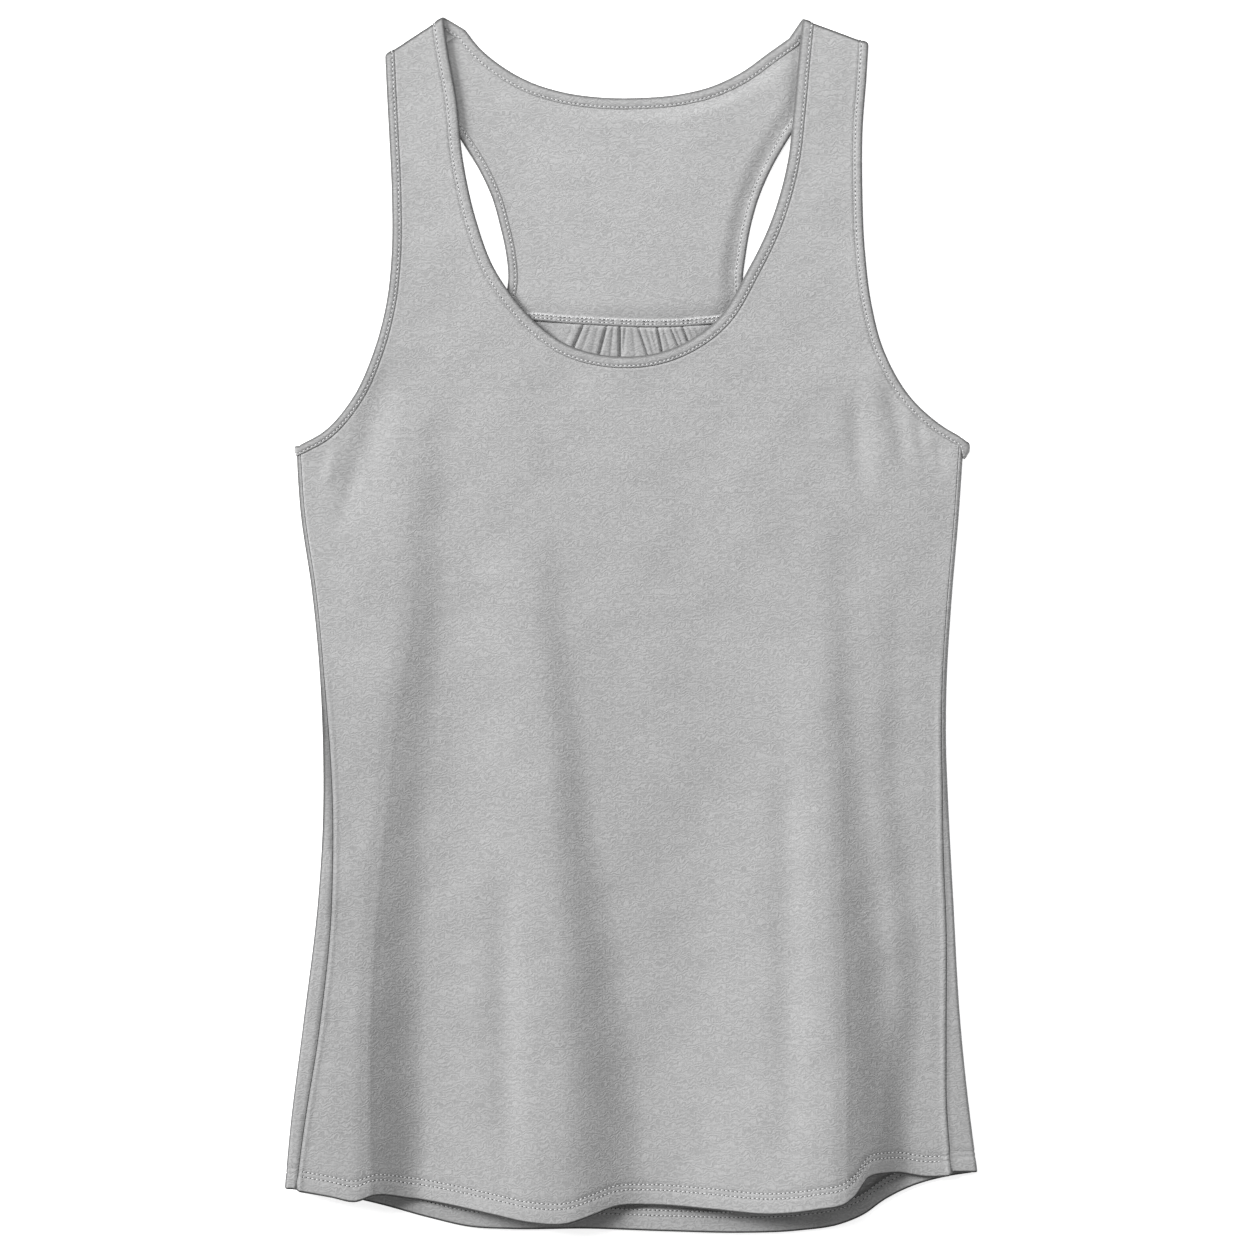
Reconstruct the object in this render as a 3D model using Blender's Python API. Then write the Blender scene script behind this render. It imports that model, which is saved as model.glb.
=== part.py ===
"""A women's racerback tank top in fine jersey, laid on its back on a flat surface.

Frame: metres, +Z up. The surface is z = 0, the neck points to +Y and the front panel lies on top.
The back is a flat yoke and a gathered lower panel, whose sides roll round on to the front. The front's
straps roll over the shoulders and meet the yoke on the underside. Tables are in millimetres.
"""
import math
from collections import namedtuple

import bmesh
import bpy
import numpy as np
from mathutils import Vector
from mathutils.geometry import delaunay_2d_cdt

MM = 0.001

# Driving dimensions, in millimetres
CLOTH = 1.2  # wall of a single layer
HEM_DEPTH = 12.5
HEM_FOLD = 0.8  # what the turned hem adds to the wall, on its inner side
GAP = 0.3  # between sewn pieces
BAND = 2.0  # thickness of the folded edge bindings
NECK_BAND = 6.5  # widths of the bindings
ARM_BAND = 5.2
FRONT_LEVEL = 3.8  # middle of the front's wall over the surface
BACK_LEVEL = CLOTH / 2
FOLD_RADIUS = (FRONT_LEVEL - BACK_LEVEL) / 2
FOLD_ARC = math.pi * FOLD_RADIUS
FOLD_EDGE = FOLD_RADIUS + CLOTH / 2  # how far a fold's outside reaches past its axis
SHOULDER_SEAM = FOLD_ARC + 10.8  # from a shoulder fold's axis down the back of the strap
ROLL_STEPS = 5
TURN_REACH = 14.0  # over which a binding's cross-sections turn to lie along a shoulder fold
STEADY = 3.0  # how far before a shoulder fold they already do
SPREAD = 200.0  # half the width of the lower back in its straightened layout
HEM_INSET = 6.0  # how far before a side fold the back's turned hem thins out

# Spacing of the points
CLEAR = 3.0  # the least distance between loose points and those of edges
SAME = 1e-6
MERGE = 1e-4
CURVE_FINENESS = 24  # samples for each point of a table, before they are evenly spaced
HEM_STEP = 1.0
EDGE_STEP = 9.5
ROW_STEP = 15.0
FREE_SHARE = 0.4  # of a step, kept free between an edge's points and those of a shoulder fold

Grid = namedtuple("Grid", "half bottom top step")
UPPER_GRID = Grid(half=174.0, bottom=108.0, top=330.0, step=12.0)
YOKE_GRID = Grid(half=110.0, bottom=190.0, top=330.0, step=22.0)
LOWER_GRID = Grid(half=180.0, bottom=-310.0, top=141.0, step=30.0)

Point = namedtuple("Point", "x y")
Level = namedtuple("Level", "y width")
Inset = namedtuple("Inset", "y left right")
Flute = namedtuple("Flute", "y crest height gentle steep")
Shoulder = namedtuple("Shoulder", "neck arm")

# Ends of each shoulder fold's outer edge, at the neck and at the armhole
SHOULDERS = {
    "left": Shoulder(neck=Point(-111.1, 351.2), arm=Point(-144.0, 329.6)),
    "right": Shoulder(neck=Point(99.8, 351.2), arm=Point(138.3, 337.0)),
}

# Cut edges of the front, anticlockwise, each with the panel on its left
FRONT_ARM_LEFT = (
    Point(-142.6, 328.0), Point(-141.8, 310.6), Point(-140.4, 284.0), Point(-138.9, 251.4),
    Point(-139.0, 214.3), Point(-142.0, 186.5), Point(-149.3, 158.6), Point(-162.1, 130.8),
    Point(-178.3, 112.2), Point(-193.0, 104.0),
)
FRONT_ARM_RIGHT = (
    Point(191.0, 109.0), Point(178.9, 116.3), Point(162.7, 130.8), Point(146.4, 158.6),
    Point(138.9, 186.5), Point(135.4, 214.3), Point(133.7, 251.4), Point(133.9, 288.5),
    Point(136.0, 316.4), Point(137.2, 336.0),
)
FRONT_NECK = (
    Point(99.0, 351.0), Point(97.5, 337.3), Point(93.7, 296.7), Point(90.6, 270.0), Point(79.8, 231.7),
    Point(68.1, 207.3), Point(48.4, 176.0), Point(31.0, 163.8), Point(13.6, 157.5), Point(-3.8, 155.7),
    Point(-21.2, 157.5), Point(-38.6, 163.3), Point(-54.8, 174.9), Point(-69.3, 191.1),
    Point(-79.8, 207.3), Point(-89.0, 231.7), Point(-97.6, 270.0), Point(-101.2, 304.0),
    Point(-107.0, 337.3), Point(-108.7, 350.0),
)
FRONT_HEM = (
    Point(-200.4, -324.5), Point(-172.5, -329.1), Point(-158.6, -331.5), Point(-149.3, -328.6),
    Point(-128.5, -331.5), Point(-107.6, -334.9), Point(-79.8, -340.2), Point(-58.9, -344.2),
    Point(-38.0, -344.8), Point(-24.1, -340.8), Point(-10.1, -336.1), Point(10.7, -335.5),
    Point(45.5, -337.3), Point(80.3, -339.0), Point(108.2, -335.5), Point(122.1, -332.6),
    Point(129.0, -327.4), Point(136.0, -318.1), Point(149.9, -316.4), Point(170.8, -319.3),
    Point(201.0, -316.6),
)

# Cut edges of the back. The yoke's start or end at the shoulder seams, which follow from the front.
YOKE_NECK = (
    Point(-87.9, 334.6), Point(-76.3, 325.0), Point(-58.9, 315.2), Point(-41.5, 309.6),
    Point(-18.3, 306.2), Point(4.9, 305.9), Point(28.1, 308.0), Point(45.5, 312.2),
    Point(62.9, 320.2), Point(80.3, 332.6),
)
YOKE_ARM_LEFT = (
    Point(-98.3, 280.4), Point(-88.4, 264.2), Point(-80.9, 247.9), Point(-76.3, 231.7),
    Point(-72.8, 215.5), Point(-71.6, 199.2), Point(-73.9, 187.6), Point(-79.5, 177.5),
)
YOKE_ARM_RIGHT = (
    Point(72.5, 178.0), Point(66.4, 187.6), Point(64.7, 199.2), Point(66.4, 215.5),
    Point(69.3, 231.7), Point(73.9, 247.9), Point(80.9, 264.2), Point(90.0, 280.4),
)
LOWER_ARM_LEFT = (Point(-93.7, 158.5), Point(-122.7, 132.5), Point(-157.5, 112.2), Point(-192.4, 104.0))
LOWER_ARM_RIGHT = (Point(190.6, 109.0), Point(155.7, 117.0), Point(118.0, 135.0), Point(87.5, 159.0))
YOKE_SEAM = (
    Point(-79.5, 177.5), Point(-56.0, 177.0), Point(-38.6, 175.4), Point(-18.3, 174.2),
    Point(7.8, 173.1), Point(25.2, 173.3), Point(42.6, 174.6), Point(72.5, 178.0),
)
BACK_HEM = (
    Point(-200.4, -324.5), Point(-172.5, -329.1), Point(-144.7, -335.5), Point(-116.9, -343.1),
    Point(-93.7, -348.3), Point(-70.5, -349.6), Point(-24.1, -349.4), Point(22.3, -351.0),
    Point(62.9, -351.8), Point(97.7, -350.4), Point(119.8, -347.1), Point(133.7, -341.5),
    Point(146.4, -332.6), Point(161.5, -325.1), Point(182.4, -319.2), Point(201.0, -316.4),
)

# Height of the armholes' lowest points, at the side folds
UNDERARM = {-1: FRONT_ARM_LEFT[-1].y, 1: FRONT_ARM_RIGHT[0].y}

# Half width of the folded body, to the outside of each side fold
LEFT_SIDE = (
    Level(104.0, 194.6), Level(64.1, 191.7), Level(20.6, 185.3), Level(-20.0, 181.2),
    Level(-64.1, 178.9), Level(-119.8, 178.9), Level(-156.9, 181.2), Level(-231.1, 189.9),
    Level(-292.6, 197.5), Level(-324.5, 200.4),
)
RIGHT_SIDE = (
    Level(109.0, 192.8), Level(65.8, 189.9), Level(10.1, 185.3), Level(-27.0, 183.0),
    Level(-66.4, 182.4), Level(-101.2, 183.6), Level(-156.9, 186.5), Level(-234.6, 191.1),
    Level(-283.9, 196.3), Level(-316.4, 200.6),
)
# How far the side seams lie inside those folds, on the front
SEAM_INSETS = (
    Inset(110.0, 2.8, 2.8), Inset(20.0, 2.8, 2.8), Inset(-32.0, 3.0, 2.8), Inset(-84.0, 5.2, 3.0),
    Inset(-136.0, 7.5, 4.6), Inset(-188.0, 9.9, 5.6), Inset(-240.0, 10.4, 9.3),
    Inset(-275.0, 9.3, 12.8), Inset(-325.0, 7.4, 15.7),
)

# The front's long folds: the crest's place, its height over the panel, its left and right foot
FLUTES = (
    (
        Flute(140.0, -121.0, 0.0, 60.0, 20.0), Flute(84.0, -128.5, 2.1, 84.0, 24.0),
        Flute(38.0, -135.0, 3.2, 96.0, 29.0), Flute(-8.0, -138.0, 4.3, 110.0, 31.0),
        Flute(-55.0, -143.0, 5.2, 120.0, 34.0), Flute(-101.0, -146.5, 6.2, 130.0, 37.0),
        Flute(-148.0, -155.0, 7.8, 140.0, 43.0), Flute(-194.0, -161.0, 9.2, 150.0, 47.0),
        Flute(-240.0, -163.5, 10.8, 150.0, 48.0), Flute(-345.0, -164.0, 11.4, 150.0, 46.0),
    ),
    (
        Flute(80.0, -59.0, 0.0, 34.0, 18.0), Flute(38.0, -58.0, 1.2, 40.0, 20.0),
        Flute(-8.0, -56.0, 2.3, 48.0, 22.0), Flute(-55.0, -50.0, 3.0, 56.0, 24.0),
        Flute(-101.0, -48.0, 4.6, 64.0, 27.0), Flute(-148.0, -46.0, 5.8, 72.0, 33.0),
        Flute(-194.0, -43.0, 7.5, 80.0, 39.0), Flute(-240.0, -41.0, 8.6, 84.0, 44.0),
        Flute(-298.0, -41.0, 10.4, 86.0, 50.0), Flute(-345.0, -41.0, 11.2, 88.0, 52.0),
    ),
    (
        Flute(90.0, 104.0, 0.0, 40.0, 18.0), Flute(38.0, 108.0, 1.0, 46.0, 20.0),
        Flute(-8.0, 110.0, 2.4, 54.0, 24.0), Flute(-55.0, 110.5, 3.6, 64.0, 28.0),
        Flute(-101.0, 112.0, 4.6, 74.0, 32.0), Flute(-148.0, 114.5, 7.0, 88.0, 42.0),
        Flute(-194.0, 115.0, 10.0, 98.0, 49.0), Flute(-240.0, 115.0, 12.8, 108.0, 51.0),
        Flute(-298.0, 114.0, 16.2, 114.0, 52.0), Flute(-345.0, 114.0, 17.2, 116.0, 52.0),
    ),
)
HEM_LEVEL = -332.0  # where the front's hem meets the folds' columns
FOLD_ROWS_TOP = 96.0  # the highest row of points that follows the folds
# Columns of the front between the folds' crests and feet, left to right
FLUTE_COLUMNS = (2, 6, 5, 6, 7, 6, 2)

# Gathers of the lower back, in small pleats under the yoke seam
GATHER_PLEATS = 15
GATHER_LEFT = -34.0
GATHER_RIGHT = 35.0
GATHER_HEIGHT = 1.1
GATHER_LENGTH = 34.0
GATHER_FAN = 0.12  # how far the pleats lean apart for each millimetre down
GATHER_FADE = 8.0  # over which they flatten at either end
GATHER_ROWS = (4.0, 10.0, 18.0, 28.0)
PLEAT_STOPS = 4  # points across each pleat

# Cross-section of a binding: share of its width from the cut edge, share of its thickness
BAND_PROFILE = (
    (0.0, -0.22), (0.0, 0.22), (0.1, 0.5), (0.88, 0.5),
    (1.0, 0.25), (1.0, -0.25), (0.88, -0.5), (0.1, -0.5),
)

HEATHER_GREY = (0.485, 0.485, 0.49, 1.0)
BINDING_GREY = (0.46, 0.46, 0.465, 1.0)
INNER_GREY = (0.47, 0.47, 0.475, 1.0)


def clear_scene():
    for item in list(bpy.data.objects):
        bpy.data.objects.remove(item)


def fabric(name, colour):
    material = bpy.data.materials.new(name)
    material.use_nodes = True
    shader = material.node_tree.nodes["Principled BSDF"]
    shader.inputs["Base Color"].default_value = colour
    shader.inputs["Roughness"].default_value = 0.95
    shader.inputs["Metallic"].default_value = 0.0
    return material


# Curves and outlines

def ease(share):
    share = np.clip(share, 0.0, 1.0)
    return share * share * (3.0 - 2.0 * share)


def through(knots, values, at):
    """Reads a smooth curve through values at rising knots."""
    knots, values, at = (np.asarray(item, float) for item in (knots, values, at))
    slopes = np.gradient(values, knots, axis=0)
    at = np.clip(at, knots[0], knots[-1])
    i = np.clip(np.searchsorted(knots, at) - 1, 0, len(knots) - 2)
    wide = knots[i + 1] - knots[i]
    s = (at - knots[i]) / wide
    if values.ndim > 1:
        s, wide = s[..., None], wide[..., None]
    start = (1 + 2 * s) * (1 - s) ** 2 * values[i] + s * (1 - s) ** 2 * wide * slopes[i]
    end = s * s * (3 - 2 * s) * values[i + 1] + s * s * (s - 1) * wide * slopes[i + 1]
    return start + end


def column(table, name, y):
    """Reads one column of a table whose rows go down the garment."""
    rows = table[::-1]
    return through([row.y for row in rows], [getattr(row, name) for row in rows], y)


def lengths(points):
    steps = np.linalg.norm(np.diff(points, axis=0), axis=1)
    return np.concatenate([[0.0], np.cumsum(steps)])


def curve(points, step):
    """Evenly spaced points on a smooth curve through the given ones."""
    points = np.array(points, float)
    along = lengths(points)
    fine = through(along, points, np.linspace(0.0, along[-1], CURVE_FINENESS * len(points)))
    run = lengths(fine)
    at = np.linspace(0.0, run[-1], max(2, round(run[-1] / step) + 1))
    return np.stack([np.interp(at, run, fine[:, axis]) for axis in (0, 1)], axis=1)


def unit(vectors):
    vectors = np.asarray(vectors, float)
    return vectors / np.linalg.norm(vectors, axis=-1, keepdims=True)


def left_of(points):
    ahead = unit(np.gradient(points, axis=0))
    return np.stack([-ahead[:, 1], ahead[:, 0]], axis=1)


def inside(points, outline):
    """Which points lie in a closed outline."""
    x, y = points.T
    odd = np.zeros(len(points), bool)
    for (ax, ay), (bx, by) in zip(outline, np.roll(outline, -1, axis=0)):
        if ay != by:
            crosses = (ay > y) != (by > y)
            odd ^= crosses & (x < (bx - ax) * (y - ay) / (by - ay) + ax)
    return odd


def clip(points, value):
    """The stretch of a line where a value is positive, cut off where it crosses zero."""
    values = value(points)
    kept = []
    for i, point in enumerate(points):
        if i and (values[i] > 0) != (values[i - 1] > 0):
            share = values[i - 1] / (values[i - 1] - values[i])
            kept.append(points[i - 1] + (point - points[i - 1]) * share)
        if values[i] > 0:
            kept.append(point)
    return np.array(kept)


def over_line(points, line):
    """Height of points over a line that runs across the garment."""
    line = np.array(line, float)
    order = np.argsort(line[:, 0])
    return points[:, 1] - np.interp(points[:, 0], line[order, 0], line[order, 1])


def clearance(points, outline):
    """How far each point is from a closed outline."""
    return row_clearance(points, np.vstack([outline, outline[:1]]))


def row_clearance(points, row):
    """How far each point is from an open line."""
    nearest = np.full(len(points), np.inf)
    for a, b in zip(row[:-1], row[1:]):
        run = b - a
        share = np.clip((points - a) @ run / max(run @ run, SAME), 0.0, 1.0)
        away = np.linalg.norm(points - a - share[:, None] * run, axis=1)
        nearest = np.minimum(nearest, away)
    return nearest


# The folds, which carry a flat layout to its place. "out" is a distance towards the garment's outside.

def over_fold(past, out, low, lift=0.0):
    """Across and up for points that lie past a fold's axis, from the front's level down to the low one.

    A lift makes the fold a taller loop, which stands that much over the front's level.
    """
    turn = np.clip(past / FOLD_RADIUS, 0.0, math.pi)
    radius = (FRONT_LEVEL - low) / 2 + out
    across = np.minimum(past, 0.0) + radius * np.sin(turn) - np.maximum(past - FOLD_ARC, 0.0)
    up = (FRONT_LEVEL + lift + low) / 2 + (radius + lift / 2) * np.cos(turn)
    return across, up


def shoulder_frame(side):
    """A point on a shoulder fold's axis, the way along it from neck to armhole, and the way past it."""
    neck, arm = (np.array(end) for end in SHOULDERS[side])
    along = unit(arm - neck)
    past = np.array([along[1], -along[0]]) if side == "left" else np.array([-along[1], along[0]])
    return neck - past * FOLD_EDGE, along, past


def past_shoulder(side, flat):
    base, _, past = shoulder_frame(side)
    return (flat - base) @ past


def flutes(x, y):
    """Height of the front's long folds over the plain panel."""
    total = np.zeros_like(x)
    for table in FLUTES:
        offset = x - column(table, "crest", y)
        width = np.where(offset < 0, column(table, "gentle", y), column(table, "steep", y))
        share = np.clip(np.abs(offset) / width, 0.0, 1.0)
        total += column(table, "height", y) * np.cos(share * math.pi / 2) ** 2
    return total


def place_front(flat, out, low=BACK_LEVEL):
    """Carries the front's layout to its place, over the shoulder folds at its top."""
    flat = np.asarray(flat, float)
    x, y = flat.T
    probe = 0.5
    lean_x = (flutes(x + probe, y) - flutes(x - probe, y)) / (2 * probe)
    lean_y = (flutes(x, y + probe) - flutes(x, y - probe)) / (2 * probe)
    steep = np.sqrt(1 + lean_x ** 2 + lean_y ** 2)
    place = np.stack([
        x - out * lean_x / steep,
        y - out * lean_y / steep,
        FRONT_LEVEL + flutes(x, y) + out / steep,
    ], axis=1)
    for side, sign in (("left", -1), ("right", 1)):
        _, _, past = shoulder_frame(side)
        distance = past_shoulder(side, flat)
        rolled = (distance > 0) & (x * sign > 0)
        across, up = over_fold(distance, out, low)
        moved = flat + np.outer(across - distance, past)
        place[rolled, :2] = moved[rolled]
        place[rolled, 2] = up[rolled]
    return place


def place_back(flat, out, low=BACK_LEVEL):
    flat = np.asarray(flat, float)
    return np.column_stack([flat, np.broadcast_to(low - out, len(flat))])


def side_axis(side, y):
    """Distance of a side fold's axis from the middle."""
    table = LEFT_SIDE if side < 0 else RIGHT_SIDE
    return column(table, "width", y) - FOLD_EDGE


def seam_overlap(side, y):
    """How far the side seam lies inside the fold's axis, on the front."""
    return column(SEAM_INSETS, "left" if side < 0 else "right", y) - FOLD_EDGE


def place_side(side, past, y, out, low=BACK_LEVEL):
    """Round a side fold, whose loop stands as high as the front's long folds reach there."""
    lift = flutes(side * (side_axis(side, y) + np.minimum(past, 0.0)), y)
    across, up = over_fold(past, out, low, lift)
    return np.column_stack([side * (side_axis(side, y) + across), y, up])


def place_lower(flat, out):
    """Carries the lower back's straightened layout to its place, round both side folds."""
    spread, y = np.asarray(flat, float).T
    out = np.broadcast_to(out, spread.shape)
    side = np.where(spread < 0, -1.0, 1.0)
    axis = np.where(side < 0, side_axis(-1, y), side_axis(1, y))
    place = place_back(np.column_stack([spread / SPREAD * axis, y]), out)
    for sign in (-1, 1):
        rolled = spread * sign > SPREAD
        past = FOLD_ARC - (spread[rolled] * sign - SPREAD)
        place[rolled] = place_side(sign, past, y[rolled], out[rolled])
    return place


def straighten(flat):
    """Takes places on the surface to the lower back's straightened layout."""
    flat = np.asarray(flat, float)
    axis = np.where(flat[:, 0] < 0, side_axis(-1, flat[:, 1]), side_axis(1, flat[:, 1]))
    return np.column_stack([flat[:, 0] / axis * SPREAD, flat[:, 1]])


# Bound edges: the points of a cut edge, and at each the way into the panel for one unit of width

Edge = namedtuple("Edge", "points inward")


def bound_edge(points, on_left, shoulders, steady):
    """An edge whose cross-sections turn to lie along the shoulder folds that it meets."""
    square = left_of(points) * (1 if on_left else -1)
    mixed = square.copy()
    for side, way in shoulders:
        _, along, _ = shoulder_frame(side)
        share = ease((past_shoulder(side, points) + steady + TURN_REACH) / TURN_REACH)[:, None]
        near = (points[:, 0] * (-1 if side == "left" else 1) > 0)[:, None]
        mixed = np.where(near, unit(mixed * (1 - share) + along * way * share), mixed)
    inward = mixed / np.sum(mixed * square, axis=1, keepdims=True)
    return Edge(points, inward)


def roll_stops(side, end, before):
    """Points of an edge's layout across a shoulder fold, from its last two points before the fold."""
    _, _, past = shoulder_frame(side)
    ahead = unit(end - before)
    stops = [-STEADY, *np.linspace(0.0, FOLD_ARC, ROLL_STEPS + 1), SHOULDER_SEAM]
    first = past_shoulder(side, end[None])[0]
    return np.array([end + ahead * (stop - first) / (ahead @ past) for stop in stops])


def over_shoulders(table, step, start=None, end=None):
    """A front edge's points, with those that carry it over the shoulder fold at either end."""
    points = curve(table, step)
    first, last = np.array(table[:2]), np.array(table[-2:])
    for side in filter(None, (start, end)):
        near = (points[:, 0] < 0) == (side == "left")
        points = points[~(near & (past_shoulder(side, points) > -STEADY - FREE_SHARE * step))]
    head = roll_stops(start, first[0], first[1])[::-1] if start else np.empty((0, 2))
    tail = roll_stops(end, last[1], last[0]) if end else np.empty((0, 2))
    return np.vstack([head, points, tail])


def seam_end(table, side, at_start):
    """Where an edge of the front meets the shoulder seam on the back."""
    ends = np.array(table[:2])[::-1] if at_start else np.array(table[-2:])
    stop = roll_stops(side, ends[1], ends[0])[-1]
    return place_front(stop[None], np.zeros(1))[0][:2]


def front_edges(step):
    neck = over_shoulders(FRONT_NECK, step, start="right", end="left")
    left = over_shoulders(FRONT_ARM_LEFT, step, start="left")
    right = over_shoulders(FRONT_ARM_RIGHT, step, end="right")
    return {
        "neck": bound_edge(neck, True, (("left", 1), ("right", 1)), STEADY),
        "arm_left": bound_edge(left, True, (("left", -1),), STEADY),
        "arm_right": bound_edge(right, True, (("right", -1),), STEADY),
    }


def back_edges(step):
    """The back's edges from seam to seam: the neck left to right, the armholes shoulder to underarm."""
    neck_left = seam_end(FRONT_NECK, "left", at_start=False)
    neck_right = seam_end(FRONT_NECK, "right", at_start=True)
    arm_left = seam_end(FRONT_ARM_LEFT, "left", at_start=True)
    arm_right = seam_end(FRONT_ARM_RIGHT, "right", at_start=False)
    neck = curve([neck_left, *YOKE_NECK, neck_right], step)
    left = curve([arm_left, *YOKE_ARM_LEFT, *LOWER_ARM_LEFT], step)
    right = curve([*LOWER_ARM_RIGHT, *YOKE_ARM_RIGHT, arm_right], step)[::-1]
    down = SHOULDER_SEAM - FOLD_ARC
    edges = {
        "neck": bound_edge(neck, False, (("left", 1), ("right", 1)), down),
        "arm_left": bound_edge(left, True, (("left", -1),), down),
        "arm_right": bound_edge(right, False, (("right", -1),), down),
    }
    front = front_edges(step)
    for name, here, there in (("neck", 0, -1), ("neck", -1, 0), ("arm_left", 0, 0), ("arm_right", 0, -1)):
        edges[name].inward[here] = front[name].inward[there]
    return edges


def moved_in(edge, distance):
    return edge.points + edge.inward * distance


# Solids

def add_object(name, mesh, material):
    item = bpy.data.objects.new(name, mesh)
    bpy.context.collection.objects.link(item)
    mesh.materials.append(material)
    return item


def closed_mesh(name, points, faces):
    """A mesh in metres with its faces turned outwards."""
    mesh = bpy.data.meshes.new(name)
    mesh.from_pydata((np.asarray(points) * MM).tolist(), [], faces)
    shell = bmesh.new()
    shell.from_mesh(mesh)
    bmesh.ops.recalc_face_normals(shell, faces=shell.faces)
    if shell.calc_volume(signed=True) < 0:
        bmesh.ops.reverse_faces(shell, faces=shell.faces)
    shell.to_mesh(mesh)
    shell.free()
    return mesh


Layout = namedtuple("Layout", "points lines rim")
FILL_WITHIN = 1  # the filling mode that keeps only the triangles within the rim


def grid_points(grid):
    """Loose points in rows over a rectangle of a layout."""
    return np.array([
        (x, y) for y in np.arange(grid.bottom, grid.top, grid.step)
        for x in np.arange(-grid.half, grid.half + CLEAR, grid.step)
    ])


def laid_out(outline, loose, rows):
    """A flat layout: its points, and the lines to keep in it, of which the first ones are its rim."""
    outline = np.array(outline)
    points = list(outline)
    lines = [(i, (i + 1) % len(points)) for i in range(len(points))]
    rim = len(lines)
    for row in rows:
        row = np.asarray(row, float)
        if not len(row):
            continue
        within = inside(row, outline) & (clearance(row, outline) > 2 * GAP)
        found = []
        for point, free in zip(row, within):
            same = np.flatnonzero(np.linalg.norm(outline - point, axis=1) < SAME)
            if len(same):
                found.append(int(same[0]))
            elif free:
                found.append(len(points))
                points.append(point)
        lines += list(zip(found, found[1:]))
        loose = loose[row_clearance(loose, row) > CLEAR / 2]
    loose = loose[inside(loose, outline) & (clearance(loose, outline) > CLEAR)]
    return Layout(np.vstack([points, loose]), lines, rim)


def panel(name, layout, place, outer_out, inner_out, material):
    """A wall of cloth: its flat layout is filled with triangles and carried to both sides of the wall."""
    corners = [Vector(point) for point in layout.points]
    found = delaunay_2d_cdt(corners, layout.lines, [], FILL_WITHIN, MERGE)
    flat = np.array([tuple(point) for point in found[0]])
    triangles = [tuple(face) for face in found[2]]
    at = {old: new for new, ids in enumerate(found[3]) for old in ids}
    total = len(flat)
    points = np.vstack([place(flat, outer_out(flat)), place(flat, inner_out(flat))])
    faces = list(triangles)
    faces += [(c + total, b + total, a + total) for a, b, c in triangles]
    for i, j in layout.lines[:layout.rim]:
        a, b = at[i], at[j]
        faces += [(a, a + total, b + total), (a, b + total, b)]
    return add_object(name, closed_mesh(name, points, faces), material)


def band(name, rings, material):
    """A closed loop of binding through its cross-sections."""
    size = len(BAND_PROFILE)
    points = np.vstack(rings)
    faces = []
    for ring in range(len(rings)):
        here, there = ring * size, (ring + 1) % len(rings) * size
        for i in range(size):
            j = (i + 1) % size
            faces.append((here + i, here + j, there + j, there + i))
    mesh = closed_mesh(name, points, faces)
    shell = bmesh.new()
    shell.from_mesh(mesh)
    bmesh.ops.triangulate(shell, faces=shell.faces)
    shell.to_mesh(mesh)
    shell.free()
    return add_object(name, mesh, material)


def edge_rings(edge, width, place):
    rings = []
    for point, inward in zip(edge.points, edge.inward):
        flat = np.array([point + inward * width * share for share, _ in BAND_PROFILE])
        out = np.array([BAND * height for _, height in BAND_PROFILE])
        rings.append(place(flat, out, low=BAND / 2))
    return rings


def underarm_rings(side, y):
    """Cross-sections round a side fold, from the front to the back."""
    rings = []
    for past in np.linspace(0.0, FOLD_ARC, ROLL_STEPS + 1):
        down = np.array([y - ARM_BAND * share for share, _ in BAND_PROFILE])
        out = np.array([BAND * height for _, height in BAND_PROFILE])
        rings.append(place_side(side, np.full(len(down), past), down, out, low=BAND / 2))
    return rings


# Pieces

def front_columns(y):
    """Columns that follow the crests and feet of the long folds at one height."""
    stops = [-side_axis(-1, y) + seam_overlap(-1, y)]
    for table in FLUTES:
        crest = float(column(table, "crest", y))
        stops += [crest, crest + float(column(table, "steep", y))]
    stops.append(side_axis(1, y) - seam_overlap(1, y))
    places = [stops[0]]
    for start, stop, count in zip(stops, stops[1:], FLUTE_COLUMNS):
        places += list(np.linspace(start, stop, count + 1)[1:])
    return [(x, y) for x in places[1:-1]]


def side_rows(side, hem):
    """Heights of the rows along a side seam, from the armhole binding to the hem."""
    top = UNDERARM[side] - ARM_BAND - GAP
    bottom = hem[0 if side < 0 else -1].y
    return np.linspace(top, bottom, round((top - bottom) / ROW_STEP) + 1)


def front_hem_row(rise):
    """Points along the front's hem on the long folds' columns, at a height over its edge."""
    x = np.array(front_columns(HEM_LEVEL))[:, 0]
    y = -over_line(np.column_stack([x, np.zeros(len(x))]), curve(FRONT_HEM, HEM_STEP))
    return np.column_stack([x, y + rise])


def front_outline(edges):
    sides, arms = {}, {}
    for side, name in ((-1, "arm_left"), (1, "arm_right")):
        rows = side_rows(side, FRONT_HEM)
        x = side_axis(side, rows) - seam_overlap(side, rows) - GAP
        sides[side] = np.column_stack([side * x, rows])
        line = moved_in(edges[name], ARM_BAND + GAP)
        arms[side] = line[np.abs(line[:, 0]) < x[0] - GAP]
    neck = moved_in(edges["neck"], NECK_BAND + GAP)
    return np.vstack([sides[-1], front_hem_row(0.0), sides[1][::-1], arms[1], neck, arms[-1]])


def strap_rows(edges):
    """Rows of points across both straps where they roll over the shoulders."""
    neck = moved_in(edges["neck"], NECK_BAND + GAP)
    left = moved_in(edges["arm_left"], ARM_BAND + GAP)
    right = moved_in(edges["arm_right"], ARM_BAND + GAP)
    rows = []
    for i in range(1, ROLL_STEPS + 3):
        for start, end in ((neck[-1 - i], left[i]), (neck[i], right[-1 - i])):
            rows.append([start * (1 - share) + end * share for share in (0, 0.25, 0.5, 0.75, 1)])
    return rows


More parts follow.
